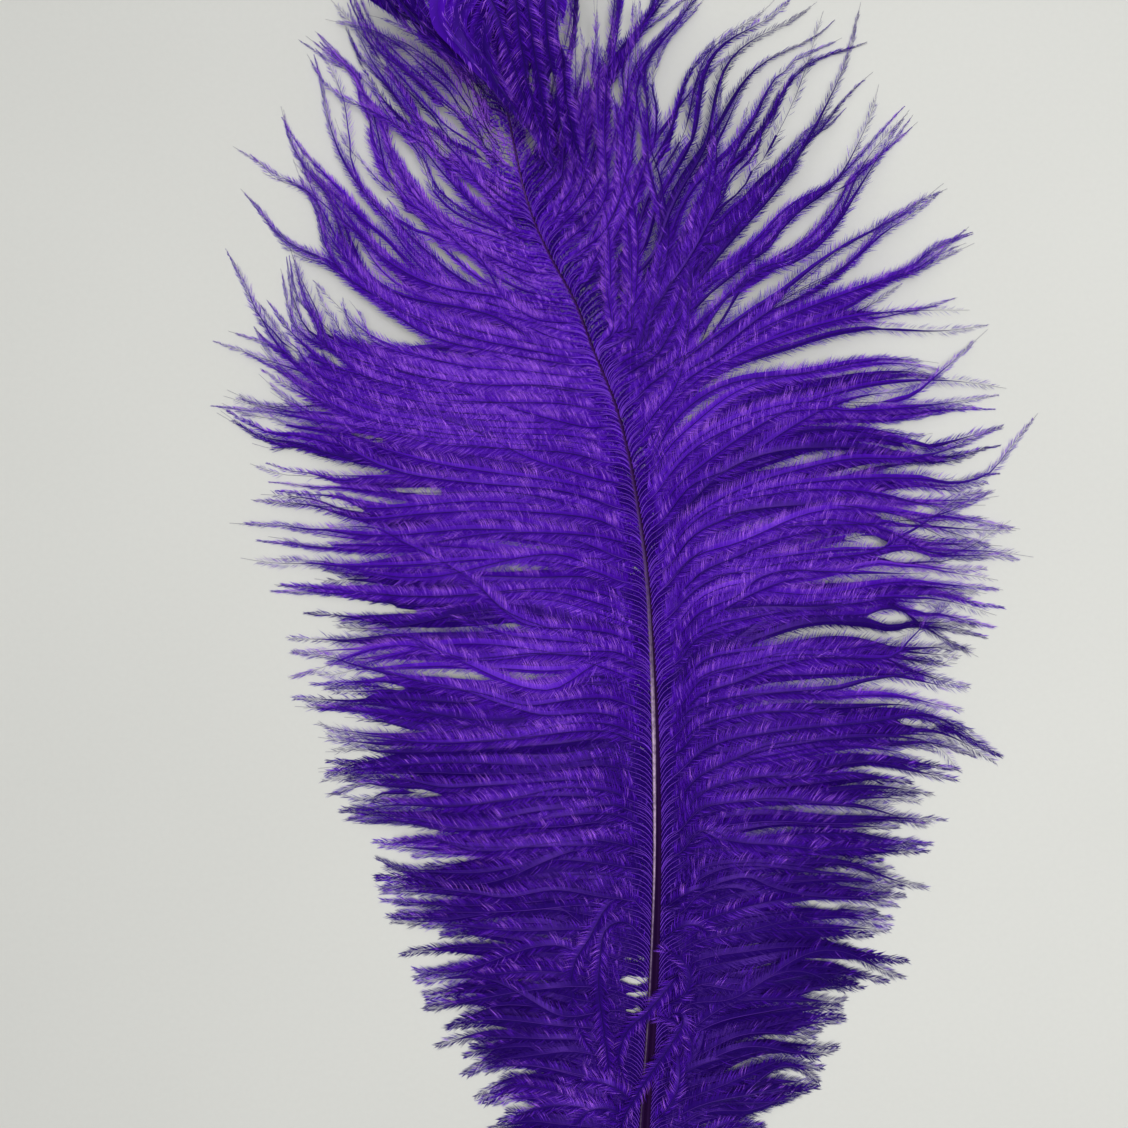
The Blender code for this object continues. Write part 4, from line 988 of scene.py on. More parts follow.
def loose_barbs(vane, table, settings, rng):
    """The barbs that lie on top, each led in from its root along the sheet."""
    barbs = []
    for shape in table:
        i, w, t, _, _ = vane.find(*shape[0][:2])
        lead = np.array([0.0, 0.3, 0.6]) * t
        begin, _ = vane.between(i, np.full(3, w), lead)
        root = vane.roots[i] * (1 - w) + vane.roots[i + 1] * w + rng.uniform(-0.5, 0.5)
        line = [vane.shaft.socket(root, vane.sign)]
        line += [p + np.array([0, 0, 0.7 * k]) for k, p in enumerate(begin[1:], 1)]
        ups = [vane.shaft.at(root)[3]]
        near = i
        for k, (x, y) in enumerate(shape):
            near, _, far, z, up = vane.find(x, y, near)
            lift = settings.loose_lift / MM * (1 - smooth(far, 0.8, 1.05))
            line.append(drawn_in((x, y, max(z + lift, LOWEST_LOOSE))))
            ups.append(up)
        fine = smooth_line(line, 0.5)
        total = lengths(fine)[-1]
        dist = stations(total)
        points = along(fine, dist, lengths(fine))
        points = root_arc(vane.shaft, root, vane.sign, points, dist, ARC_LENGTH * 0.8)
        up_at = np.linspace(0, total, len(ups))
        up = unit(along(np.array(ups), dist, up_at))
        points[:, 2] = np.maximum(points[:, 2], LOWEST_LOOSE)
        middle = points[len(points) // 2]
        tone = rng.uniform(0.0, 0.08) + patch_tone_and_shade(middle[0], middle[1])
        thin = smooth(root, *THINNED)
        barbs.append(Barb(
            points, up, vane.sign, vane.shaft.at(root)[1], tone, grey=rng.uniform(0.3, 1),
            openness=float(rng.random() ** 1.7), full=1 - 0.12 * thin, web=0.8 - 0.4 * thin,
            comb=smooth(root, *COMBED), rope=0.75 * thin if rng.random() < 0.45 else 0.0,
            slim=float(smooth(root, *POINTED)),
        ))
    return barbs


def stray_barbs(shaft, table):
    """Barbs with a shape and heights of their own, in loose untidy down."""
    barbs = []
    for root, sign, shape in table:
        start = shaft.socket(root, sign)
        fine = smooth_line([start] + [drawn_in(p) for p in shape], 0.4)
        dist = stations(lengths(fine)[-1])
        points = along(fine, dist, lengths(fine))
        up = np.tile([0.0, 0.0, 1.0], (len(points), 1))
        onward = shaft.at(root)[1]
        barbs.append(Barb(
            points, up, sign, onward, openness=0.2, comb=0.0, near_root=False, painted_glint=0.3,
        ))
    return barbs


def curly_barbs(shaft, sign, count, last, rng):
    """Short barbs that have curled up on top of the others, up to the last root."""
    barbs = []
    for _ in range(count):
        root = rng.uniform(52, last)
        _, tangent, side, _ = shaft.at(root)
        size = rng.uniform(15, 28)
        t = np.linspace(0, 1, 40)
        turn = np.radians(rng.uniform(50, 150)) * rng.choice([-1, 1, 1])
        heading = np.radians(rng.uniform(28, 60)) + turn * smooth(t, 0.1, 1.0)
        step = size / len(t)
        out = np.cumsum(np.sin(heading)) * step
        on = np.cumsum(np.cos(heading)) * step
        line = shaft.socket(root, sign) + side * sign * out[:, None] + tangent * on[:, None]
        line[:, 2] = 1.6 + rng.uniform(2.2, 3.6) * np.sin(math.pi * np.clip(t, 0, 0.85))
        dist = stations(lengths(line)[-1])
        points = along(line, dist, lengths(line))
        tilt = np.radians(rng.uniform(-35, 35)) * dist / dist[-1]
        across = np.array([-math.sin(heading[20]), math.cos(heading[20]), 0.0])
        up = np.cos(tilt)[:, None] * np.array([0.0, 0.0, 1.0]) + np.sin(tilt)[:, None] * across
        barbs.append(Barb(
            points, up, sign, tangent, float(rng.normal(-0.04, 0.08)), openness=0.4, comb=0.0,
            near_root=False, painted_glint=0.6,
        ))
    return barbs


class MeshLists:
    """Corners, faces and texture places of many small shapes, gathered for one mesh."""

    def __init__(self):
        self.points, self.corners, self.sizes, self.uvs, self.slots = [], [], [], [], []
        self.count = 0

    def add(self, points, faces, uv, slot):
        """Adds like shapes: points (n, p, 3), faces as tuples of corners, uv (n, p, 2)."""
        n, p = points.shape[:2]
        base = self.count + np.arange(n)[:, None] * p
        self.points.append(points.reshape(-1, 3))
        order = np.concatenate([np.array(f) for f in faces])
        self.corners.append((base + order[None, :]).reshape(-1))
        self.uvs.append(uv[:, order].reshape(-1, 2))
        sizes = np.array([len(f) for f in faces])
        self.sizes.append(np.tile(sizes, n))
        self.slots.append(np.full(n * len(faces), slot))
        self.count += n * p

    def build(self, name, materials):
        """The gathered shapes as one object, its place in its mesh."""
        points = np.concatenate(self.points)
        corners = np.concatenate(self.corners)
        sizes = np.concatenate(self.sizes)
        points = (points - np.array([*CENTRE, 0.0])) * MM
        mesh = bpy.data.meshes.new(name)
        mesh.vertices.add(len(points))
        mesh.vertices.foreach_set("co", points.astype(np.float32).reshape(-1))
        mesh.loops.add(len(corners))
        mesh.loops.foreach_set("vertex_index", corners.astype(np.int32))
        mesh.polygons.add(len(sizes))
        starts = np.concatenate([[0], np.cumsum(sizes)[:-1]])
        mesh.polygons.foreach_set("loop_start", starts.astype(np.int32))
        mesh.polygons.foreach_set("material_index", np.concatenate(self.slots).astype(np.int32))
        layer = mesh.uv_layers.new(name="barb_uv")
        layer.data.foreach_set("uv", np.concatenate(self.uvs).astype(np.float32).reshape(-1))
        mesh.update(calc_edges=True)
        mesh.polygons.foreach_set("use_smooth", np.ones(len(sizes), bool))
        for material in materials:
            mesh.materials.append(material)
        made = bpy.data.objects.new(name, mesh)
        bpy.context.scene.collection.objects.link(made)
        return made


def add_ramus(lists, barb, settings):
    """The barb's own stem: a thin three-sided tube that tapers to its tip."""
    f = barb.dist / barb.length
    half = np.interp(f, [0, 0.15, 0.7, 1.0], [0.85, 1.0, 0.6, 0.25]) * settings.ramus_width / MM / 2
    rings = []
    for angle in (90, 210, 330):
        a = math.radians(angle)
        out = barb.ups * math.sin(a) + barb.across * math.cos(a)
        rings.append(barb.points + out * half[:, None])
    ring = np.stack(rings, 1)
    count = len(f)
    points = ring.reshape(1, count * 3, 3)
    faces = []
    for k in range(count - 1):
        for c in range(3):
            a, b = 3 * k + c, 3 * k + (c + 1) % 3
            faces.append((a, b, b + 3, a + 3))
    faces.append((2, 1, 0))
    faces.append((count * 3 - 3, count * 3 - 2, count * 3 - 1))
    if np.dot(np.cross(ring[0, 1] - ring[0, 0], barb.tangents[0]), ring[0, 0] - barb.points[0]) < 0:
        faces = [tuple(reversed(face)) for face in faces]
    u = np.repeat(f * (0.85 + 0.15 * barb.comb), 3)
    # Painted highlight: the V of the corner toward the shaft's tip, and low down of the top, draws a pale
    # stripe along the stem.
    v = np.tile([0.06 + 0.08 * (1 - barb.comb) * barb.painted_glint, 0.0, 0.2 * barb.painted_glint], count)
    lists.add(points, faces, np.stack([u, v], 1)[None], STEM_SLOT)


def comb_directions(barb, d, side, lean):
    """Where barbules start at distances d, the barb's axes there, and which way they point.

    Side is 1 toward the shaft's tip and -1 toward the quill, and lean is in degrees.
    """
    f = d / barb.length
    centre, tangent, up, across = [
        along(field, d, barb.dist) for field in (barb.points, barb.tangents, barb.ups, barb.across)
    ]
    across = across * side
    turns = TURNS + OPEN_TURNS * max(barb.openness, 0.6 * (1 - barb.comb))
    turns = turns + (ROPE_TURNS - turns) * barb.rope
    if side < 0:
        turns = turns * BACK_SHARES
    angle = np.radians(np.interp(f, TURN_PLACES, turns) + lean)
    # They hang a little, most by the shaft.
    by_root = 1 - smooth(d, 2.5, 7.0)
    fall = np.radians(-10 - 27 * by_root - (5 if side < 0 else 0))
    out = across * np.cos(fall)[:, None] + up * np.sin(fall)[:, None]
    way = tangent * np.cos(angle)[:, None] + out * np.sin(angle)[:, None]
    if side > 0:
        # On this side, combed barbules turn to lie the way the shaft goes.
        share = 0.55 * barb.comb * (1 - smooth(f, 0.55, 0.85)) * (1 - by_root) * (1 - barb.rope)
        onward = barb.onward - up * (up @ barb.onward)[:, None]
        way = way + (unit(onward + out * 0.25) - way) * share[:, None]
    return centre, tangent, up, across, unit(way)


def barbule_reach(barb, d, settings):
    """The length of a barbule at distance d along the barb."""
    f = d / barb.length
    size = settings.barbule_length / MM * barb.full
    blunt = 0.42 - 0.3 * barb.slim
    late = 0.78 - 0.28 * barb.slim + 0.35 * barb.openness * (0.5 + 0.5 * barb.slim)
    size = size * np.interp(f, [0, 0.68, 0.92, 1], [1.0, 1.0, late, blunt])
    if barb.full < 1:
        size = size * np.interp(d, [2, 15], [0.6, 1.0])
    return size * np.interp(d, [0, 2, 6], [0.7, 0.85, 1.0])


def add_web(lists, barb, settings):
    """The clinging inner halves of the barbules, as one thin strip on each side.

    It stands for the many finer barbules that aren't drawn, and makes the vane close.
    """
    for side in (1, -1):
        d = barb.dist[barb.dist > (2.6 if barb.near_root else 0.5)]
        centre, _, up, _, way = comb_directions(barb, d, side, 0.0)
        f = d / barb.length
        web = barb.web * (1 - 0.3 * barb.openness)
        share = web * (0.4 + 0.4 * barb.under) * smooth(d, 2.5, 6.0)
        share = share * (1 - smooth(f, 0.45 + 0.25 * web, 0.97))
        reach = barbule_reach(barb, d, settings) * share
        base = centre - up * 0.12
        edge = base + way * reach[:, None] - up * 0.06
        reach = reach * free_share(base, edge, barb.gaps)
        reach = reach * (1 - table_share(SPARSE, seen(base)))
        edge = base + way * reach[:, None] - up * 0.06
        n = len(d)
        points = np.stack([base, edge], 1).reshape(1, 2 * n, 3)
        points[..., 2] = np.maximum(points[..., 2], LOWEST_WEB)
        faces = [(2 * k, 2 * k + 1, 2 * k + 3, 2 * k + 2) for k in range(n - 1) if reach[k + 1] > 0.02]
        if not faces:
            continue
        # Painted shade: the web is drawn darker than the barbules, darker still low on the shaft, darker on
        # the quill's side and paler on the side toward the shaft's tip.
        tone = WEB_SHADE_TONE + barb.tone + (0.04 if side > 0 else -0.06) - 0.17 * (1 - barb.comb)
        v = np.clip(tone + np.tile([-0.1, 0.02], n), *TONES)
        lists.add(points, faces, np.stack([np.repeat(f, 2), v], 1)[None], DOWN_SLOT)


def ripple(d, wave_lengths, rng):
    """A sum of waves along the barb, each with a phase of its own."""
    return sum(np.sin(d * 2 * math.pi / size + rng.uniform(0, 6.3)) for size in wave_lengths)


def add_barbules(lists, barb, settings, rng):
    """Two rows of fine blades, each bent toward the barb's tip."""
    for side in (1, -1):
        # Places along the barb, closer together by the shaft.
        spacing = settings.barbule_spacing / MM * (1 + 0.8 * barb.under) * (1 + 0.2 * barb.openness)
        d = np.arange(0.4, barb.length - 0.1, spacing)
        if barb.near_root:
            d = np.concatenate([d, np.arange(0.2, min(8.0, barb.length), 0.34)])
        d = d + rng.uniform(-0.35, 0.35, len(d)) * spacing
        n = len(d)
        f = d / barb.length
        # What the barbules of one tuft share, and waves that tufts share.
        tuft = (d / TUFT + rng.uniform(1, 2)).astype(int)
        lean, grow, shade = rng.normal(0, 1, (3, tuft.max() + 1))[:, tuft]
        wave = ripple(d, (2.3, 5.3), rng)
        lean = rng.normal(0, 3, n) + lean * 2.5 + wave * 2
        centre, tangent, up, across, way = comb_directions(barb, d, side, lean)
        by_root = 1 - smooth(d, 2.5, 6.5)
        size = barbule_reach(barb, d, settings) * rng.uniform(0.85, 1.1, n)
        missing = table_share(SPARSE, seen(centre))
        pocket_shade = table_share(SHADE_POCKETS, seen(centre))
        size = size * (1 + 0.1 * wave + 0.08 * grow) * (1 - 0.25 * missing)
        # Each blade has two triangles: out to its middle, and on to its point.
        first = unit(way + up * np.radians(rng.normal(0, 7, n) + wave * 3)[:, None])
        bend = rng.uniform(0.2, 0.5, n)[:, None]
        second = unit(first + tangent * bend - up * rng.uniform(0.0, 0.3, n)[:, None])
        middle = centre + first * (size * BEND_PLACE)[:, None]
        end = middle + second * (size * (1 - BEND_PLACE))[:, None]
        roll = np.radians(rng.normal(0, 25, n))[:, None]
        face_up = unit(up * np.cos(roll) + across * np.sin(roll))
        width = unit(np.cross(first, face_up))
        wide = settings.barbule_width / MM / 2 * rng.uniform(0.8, 1.2, n) * (1 + 1.2 * barb.under)
        wide = wide * np.interp(f, [0, 0.6, 1], [1.0, 1.0, 1.0 - 0.3 * barb.comb - 0.2 * barb.openness])
        wide = (wide * (1 + 1.2 * by_root))[:, None]
        blade = np.stack([centre, middle + width * wide, middle - width * wide, end], 1)
        free = free_share(centre, end, barb.gaps, rng.uniform(-0.15, 1.0, n))
        blade = centre[:, None] + (blade - centre[:, None]) * np.clip(free, 0, 1)[:, None, None]
        blade[..., 2] = np.maximum(blade[..., 2], LOWEST_BARBULE)
        # The tone: the dye varies at random, and painted light and shade are added: paler on the side toward
        # the shaft's tip, darker on the quill's side, by the shaft and in a pocket, and paler where the
        # barbules are sparse.
        patch = ripple(d, (7.3, 16.7), rng)
        low = 1 - barb.comb
        tone = BARBULE_TONE + barb.tone + rng.normal(0, 0.08 + 0.07 * low, n)
        tone = tone + shade * (0.05 + 0.03 * low) + wave * 0.02
        tone = tone + (0.05 + 0.06 * patch if side > 0 else 0.03 * patch - 0.06)
        tone = tone - by_root * (0.3 - 0.18 * barb.comb - 0.1 * (barb.full < 0.97))
        tone = tone - 0.07 * (1 - smooth(d, 6, 18)) * barb.near_root + 0.4 * missing - pocket_shade
        # Painted glints: some tufts are drawn paler, as if they caught the light.
        chance = (0.1 + 0.14 * np.clip(patch, -0.5, 2)) * barb.painted_glint
        bright = rng.random(tuft.max() + 1)[tuft] < chance
        tone = tone + np.where(bright, 0.26 + 0.1 * low, 0.0) * (1 - by_root) * (0.5 if side < 0 else 1)
        v = np.clip(tone[:, None] + np.array([-0.1, 0, 0, 0.12]), *TONES)
        u = np.clip(f * (0.9 + 0.1 * barb.grey * (0.3 + 0.7 * barb.comb)), 0, 1)[:, None] + np.zeros(4)
        # Some are left out, and all of them on a bare tip.
        sparse = 0.55 * barb.openness * (1 - barb.under)
        kept = (free > 0.05) & (rng.random(n) > sparse * smooth(f, 0.5, 0.8))
        kept &= rng.random(n) > missing
        kept &= d < barb.length - barb.thread * rng.uniform(0.6, 1.0, n)
        lists.add(blade[kept], [(0, 1, 2), (2, 1, 3)], np.stack([u, v], 2)[kept], DOWN_SLOT)


def add_node(tree, kind, inputs=None, **settings):
    """Adds a node. Inputs map a socket to a value, or to the output that feeds it."""
    made = tree.nodes.new(kind)
    for name, value in settings.items():
        setattr(made, name, value)
    for socket, value in (inputs or {}).items():
        if isinstance(value, bpy.types.NodeSocket):
            tree.links.new(value, made.inputs[socket])
        else:
            made.inputs[socket].default_value = value
    return made


def set_stops(ramp, stops):
    """Gives a colour ramp its places and colours."""
    elements = ramp.color_ramp.elements
    while len(elements) < len(stops):
        elements.new(1.0)
    for element, (place, colour) in zip(elements, stops):
        element.position = place
        element.color = colour


def new_material(name, **sockets):
    """A material with its node tree and shader, whose constant sockets are set."""
    made = bpy.data.materials.new(name)
    made.use_nodes = True
    shader = made.node_tree.nodes["Principled BSDF"]
    for socket, value in sockets.items():
        shader.inputs[socket.replace("_", " ")].default_value = value
    return made, made.node_tree, shader


def dyed_barb_keratin(settings):
    """The barbs' stems.

    Keratin, grown solid and smooth, then vat dyed. It takes more dye than the down does,
    so it looks nearly black. Its paler colour by the shaft and a violet stripe along it are painted
    highlights.
    """
    made, tree, shader = new_material(
        "dyed_barb_keratin", Roughness=0.42, Specular_Tint=linear("#A468FF"),
    )
    place = add_node(tree, "ShaderNodeUVMap", uv_map="barb_uv")
    split = add_node(tree, "ShaderNodeSeparateXYZ", {"Vector": place.outputs["UV"]})
    # Along the stem: painted highlight by the shaft, the dark dyed stem, then the natural grey tip.
    ramp = add_node(tree, "ShaderNodeValToRGB", {"Fac": split.outputs["X"]})
    set_stops(ramp, [
        (0.0, tuple(settings.stem_highlight)), (0.05, tuple(settings.stem_highlight)),
        (0.12, tuple(settings.stem_dark)), (0.86, tuple(settings.stem_dark)),
        (0.95, tuple(settings.tip_grey)),
    ])
    # Painted highlight: where V is high, the stem is drawn in the highlight colour.
    edge = add_node(
        tree, "ShaderNodeMapRange",
        {"Value": split.outputs["Y"], "From Min": 0.08, "From Max": 0.2, "To Max": 0.7},
    )
    mix = add_node(tree, "ShaderNodeMix", {
        "Factor": edge.outputs["Result"], 6: ramp.outputs["Color"], 7: tuple(settings.stem_highlight),
    }, data_type="RGBA")
    tree.links.new(mix.outputs[2], shader.inputs["Base Color"])
    return made


def dyed_barbule_down(settings):
    """The barbules.

    Loose keratin fibres, grown without hooks and vat dyed. Each catches the light by
    itself, so the down is matt as a whole, with a silky glint here and there. Paler glints
    are also painted into the tone, and its darker tones carry painted shade. Toward the
    tips the feather's natural grey shows. The blades are drawn about four times as wide
    as the real fibres, so that they show.
    """
    made, tree, shader = new_material(
        "dyed_barbule_down", Roughness=0.4, Specular_Tint=linear("#A468FF"),
        Sheen_Weight=0.1, Sheen_Roughness=0.4, Sheen_Tint=linear("#9048F0"),
    )
    place = add_node(tree, "ShaderNodeUVMap", uv_map="barb_uv")
    split = add_node(tree, "ShaderNodeSeparateXYZ", {"Vector": place.outputs["UV"]})
    ramp = add_node(tree, "ShaderNodeValToRGB", {"Fac": split.outputs["Y"]})
    # Dark end: the darkest dye with painted shade; pale end: the palest dye with painted glints.
    set_stops(ramp, [
        (0.25, tuple(settings.dark_dye_and_shade)), (0.6, tuple(settings.dye)), (1.0, tuple(settings.pale_dye_and_glint)),
    ])
    tip = add_node(
        tree, "ShaderNodeMapRange",
        {"Value": split.outputs["X"], "From Min": 0.9, "From Max": 1.0, "To Max": 0.75},
    )
    mix = add_node(tree, "ShaderNodeMix", {
        "Factor": tip.outputs["Result"], 6: ramp.outputs["Color"], 7: tuple(settings.tip_grey),
    }, data_type="RGBA")
    tree.links.new(mix.outputs[2], shader.inputs["Base Color"])
    return made


def dyed_quill_keratin(settings):
    """The shaft.

    Keratin, grown as a hard tube and vat dyed: satin aubergine. The pale specked strip on the
    ridge left of the groove is a painted highlight, and so is the paler left side where it is thin.
    """
    made, tree, shader = new_material(
        "dyed_quill_keratin", Roughness=0.45, Specular_IOR_Level=0.3,
        Specular_Tint=linear("#C090D8"),
    )
    place = add_node(tree, "ShaderNodeUVMap", uv_map="shaft_uv")
    split = add_node(tree, "ShaderNodeSeparateXYZ", {"Vector": place.outputs["UV"]})
    # How strong the painted highlight on the ridge is, and how far across it reaches, along the shaft.
    ridge_highlight = add_node(tree, "ShaderNodeValToRGB", {"Fac": split.outputs["Y"]})
    set_stops(ridge_highlight, [(y, (v, v, v, 1.0)) for y, v in RIDGE_HIGHLIGHT])
    edge = add_node(tree, "ShaderNodeValToRGB", {"Fac": split.outputs["Y"]})
    set_stops(edge, [(y, (v, v, v, 1.0)) for y, v in RIDGE_EDGE])
    away = add_node(
        tree, "ShaderNodeMath", {0: edge.outputs["Color"], 1: split.outputs["X"]}, operation="SUBTRACT",
    )
    right = add_node(tree, "ShaderNodeMapRange", {
        "Value": away.outputs["Value"], "From Min": 0.0, "From Max": 0.1,
    })
    left = add_node(tree, "ShaderNodeMapRange", {
        "Value": split.outputs["X"], "From Min": 0.08, "From Max": 0.2,
    })
    coords = add_node(tree, "ShaderNodeTexCoord")
    specks = add_node(
        tree, "ShaderNodeTexNoise",
        {"Vector": coords.outputs["Object"], "Scale": HIGHLIGHT_SPECKS, "Detail": 3.0, "Roughness": 0.6},
    )
    spread = add_node(tree, "ShaderNodeMapRange", {
        "Value": specks.outputs["Fac"], "From Min": 0.38, "From Max": 0.6, "To Min": 0.45,
    })
    highlight_mask = right.outputs["Result"]
    for factor in (left.outputs["Result"], ridge_highlight.outputs["Color"], spread.outputs["Result"]):
        product = add_node(tree, "ShaderNodeMath", {0: highlight_mask, 1: factor}, operation="MULTIPLY")
        highlight_mask = product.outputs["Value"]
    # Painted highlight: where the shaft is thin, the left of it is drawn paler.
    upper = add_node(tree, "ShaderNodeMapRange", {
        "Value": split.outputs["Y"], "From Min": 0.44, "From Max": 0.52,
    })
    upper_highlight = add_node(
        tree, "ShaderNodeMath", {0: upper.outputs["Result"], 1: right.outputs["Result"]},
        operation="MULTIPLY",
    )
    skin = add_node(tree, "ShaderNodeMix", {
        "Factor": upper_highlight.outputs["Value"], 6: tuple(settings.keratin), 7: tuple(settings.thin_shaft_highlight),
    }, data_type="RGBA")
    # The specked pale strip is painted highlight.
    mix = add_node(tree, "ShaderNodeMix", {
        "Factor": highlight_mask, 6: skin.outputs[2], 7: tuple(settings.ridge_highlight),
    }, data_type="RGBA")
    tree.links.new(mix.outputs[2], shader.inputs["Base Color"])
    return made


def pale_matt_card(settings):
    """The floor.

    Paperboard with a matt coating: no gloss, a fine grain, and a tone that is faintly
    cloudy. It is drawn lighter to the right: painted light.
    """
    made, tree, shader = new_material("pale_matt_card", Roughness=0.85)
    coords = add_node(tree, "ShaderNodeTexCoord")
    clouds = add_node(
        tree, "ShaderNodeTexNoise",
        {"Vector": coords.outputs["Object"], "Scale": CARD_CLOUDS, "Detail": 2.0, "Roughness": 0.5},
    )
    grain = add_node(
        tree, "ShaderNodeTexNoise",
        {"Vector": coords.outputs["Object"], "Scale": CARD_GRAIN, "Detail": 2.0, "Roughness": 0.6},
    )
    split = add_node(tree, "ShaderNodeSeparateXYZ", {"Vector": coords.outputs["Object"]})
    # Painted light: the card gets lighter from left to right.
    across = add_node(tree, "ShaderNodeMapRange", {
        "Value": split.outputs["X"], "From Min": -0.2, "From Max": 0.2, "To Max": 0.8,
    })
    cloudy = add_node(tree, "ShaderNodeMath", {
        0: clouds.outputs["Fac"], 1: 0.35, 2: across.outputs["Result"],
    }, operation="MULTIPLY_ADD")
    blend = add_node(tree, "ShaderNodeMath", {
        0: grain.outputs["Fac"], 1: 0.15, 2: cloudy.outputs["Value"],
    }, operation="MULTIPLY_ADD")
    dark, light = [
        (*[min(shade * part, 1.0) for part in settings.card[:3]], 1.0) for shade in CARD_PAINTED_LIGHT
    ]
    mix = add_node(tree, "ShaderNodeMix", {
        "Factor": blend.outputs["Value"], 6: dark, 7: light,
    }, data_type="RGBA")
    tree.links.new(mix.outputs[2], shader.inputs["Base Color"])
    return made


def colour_property(name, description, colour):
    """A colour that a user may change."""
    return bpy.props.FloatVectorProperty(
        name=name, description=description, subtype="COLOR", size=4, min=0, max=1,
        default=linear(colour),
    )


class ShaftSettings(bpy.types.PropertyGroup):
    """Sizes and colours of the shaft."""

    groove: bpy.props.FloatProperty(
        name="Groove depth", description="Depth of the groove as a share of the half width",
        default=0.45, min=0.0, max=0.9, subtype="FACTOR",
    )
    keratin: colour_property("Keratin", "Dyed keratin of the shaft", "#260C38")
    # Painted highlight: the left of the shaft where it is thin.
    thin_shaft_highlight: colour_property("Keratin high up", "The same where the shaft is thin", "#44206A")
    # The colour of the painted highlight on the ridge left of the groove.
    ridge_highlight: colour_property("Worn ridge", "The ridge where the dye is worn", "#DABCDE")


class BarbSettings(bpy.types.PropertyGroup):
    """Sizes and colours of the barbs and their barbules."""

    pitch: bpy.props.FloatProperty(
        name="Barb pitch", description="Distance between the roots of two barbs along the shaft",
        default=1.1 * MM, unit="LENGTH",
    )
    ramus_width: bpy.props.FloatProperty(
        name="Stem width", description="Width of a barb's stem near its root",
        default=0.2 * MM, unit="LENGTH",
    )
    barbule_length: bpy.props.FloatProperty(
        name="Barbule length", description="Length of a full barbule",
        default=2.8 * MM, unit="LENGTH",
    )
    barbule_spacing: bpy.props.FloatProperty(
        name="Barbule spacing", description="Distance between two barbules on one side of a barb",
        default=0.186 * MM, unit="LENGTH",
    )
    barbule_width: bpy.props.FloatProperty(
        name="Barbule width", description="Width of a barbule, drawn coarser than the real hair",
        default=0.1 * MM, unit="LENGTH",
    )
    loose_lift: bpy.props.FloatProperty(
        name="Loose barb lift", description="How far loose barbs ride above the others",
        default=1.3 * MM, unit="LENGTH",
    )
    dye: colour_property("Dye", "Colour of the barbules", "#500EBC")
    # The dark end of the barbules' tone carries painted shade, the pale end painted glints.
    dark_dye_and_shade: colour_property("Dark dye", "Colour of the darkest barbules", "#1E0462")
    pale_dye_and_glint: colour_property("Light dye", "Colour of the palest barbules", "#A862F0")
    # The stems' painted highlight, by the shaft and along one side.
    stem_highlight: colour_property("Stem root", "Colour of a barb's stem by the shaft", "#7C42D6")
    stem_dark: colour_property("Stem", "Colour of a barb's stem further out", "#1E0A5C")
    tip_grey: colour_property("Tip grey", "Colour of the natural tips", "#2C2450")


class StageSettings(bpy.types.PropertyGroup):
    """Floor and light."""

    card: colour_property("Card", "Colour of the floor", "#DADAD4")
    key_power: bpy.props.FloatProperty(
        name="Key light", description="Power of the lamp by the camera, which the other follows",
        default=3.95, unit="POWER",
    )


def clear_selection():
    """Leaves nothing selected, so that an operator acts only on what comes next."""
    bpy.ops.object.select_all(action="DESELECT")


def finish_piece(piece, node):
    """Puts a piece on the body, in place of its solid."""
    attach(piece, "root")
    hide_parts(node)


def build_barb_pieces(barbs, names, node, settings, rng):
    """Shares barbs out over pieces and builds them."""
    materials = [
        bpy.data.materials.get("dyed_barb_keratin") or dyed_barb_keratin(settings),
        bpy.data.materials.get("dyed_barbule_down") or dyed_barbule_down(settings),
    ]
    total = sum(b.length for b in barbs)
    run, groups = 0.0, [[] for _ in names]
    for barb in barbs:
        groups[min(int(run / total * len(names)), len(names) - 1)].append(barb)
        run += barb.length
    for name, group in zip(names, groups):
        lists = MeshLists()
        for barb in group:
            add_ramus(lists, barb, settings)
            add_web(lists, barb, settings)
            add_barbules(lists, barb, settings, rng)
        finish_piece(lists.build(name, materials), node)


def add_shaft_uv(mesh, length):
    """Gives the straight shaft a map: across it from left to right, and along it."""
    for layer in list(mesh.uv_layers):
        mesh.uv_layers.remove(layer)
    layer = mesh.uv_layers.new(name="shaft_uv")
    for loop, place in zip(mesh.loops, layer.data):
        corner = mesh.vertices[loop.vertex_index].co / MM
        # The curve that bends the shaft turns its x axis round.
        place.uv = 0.5 - 0.5 * corner.x, corner.z / length


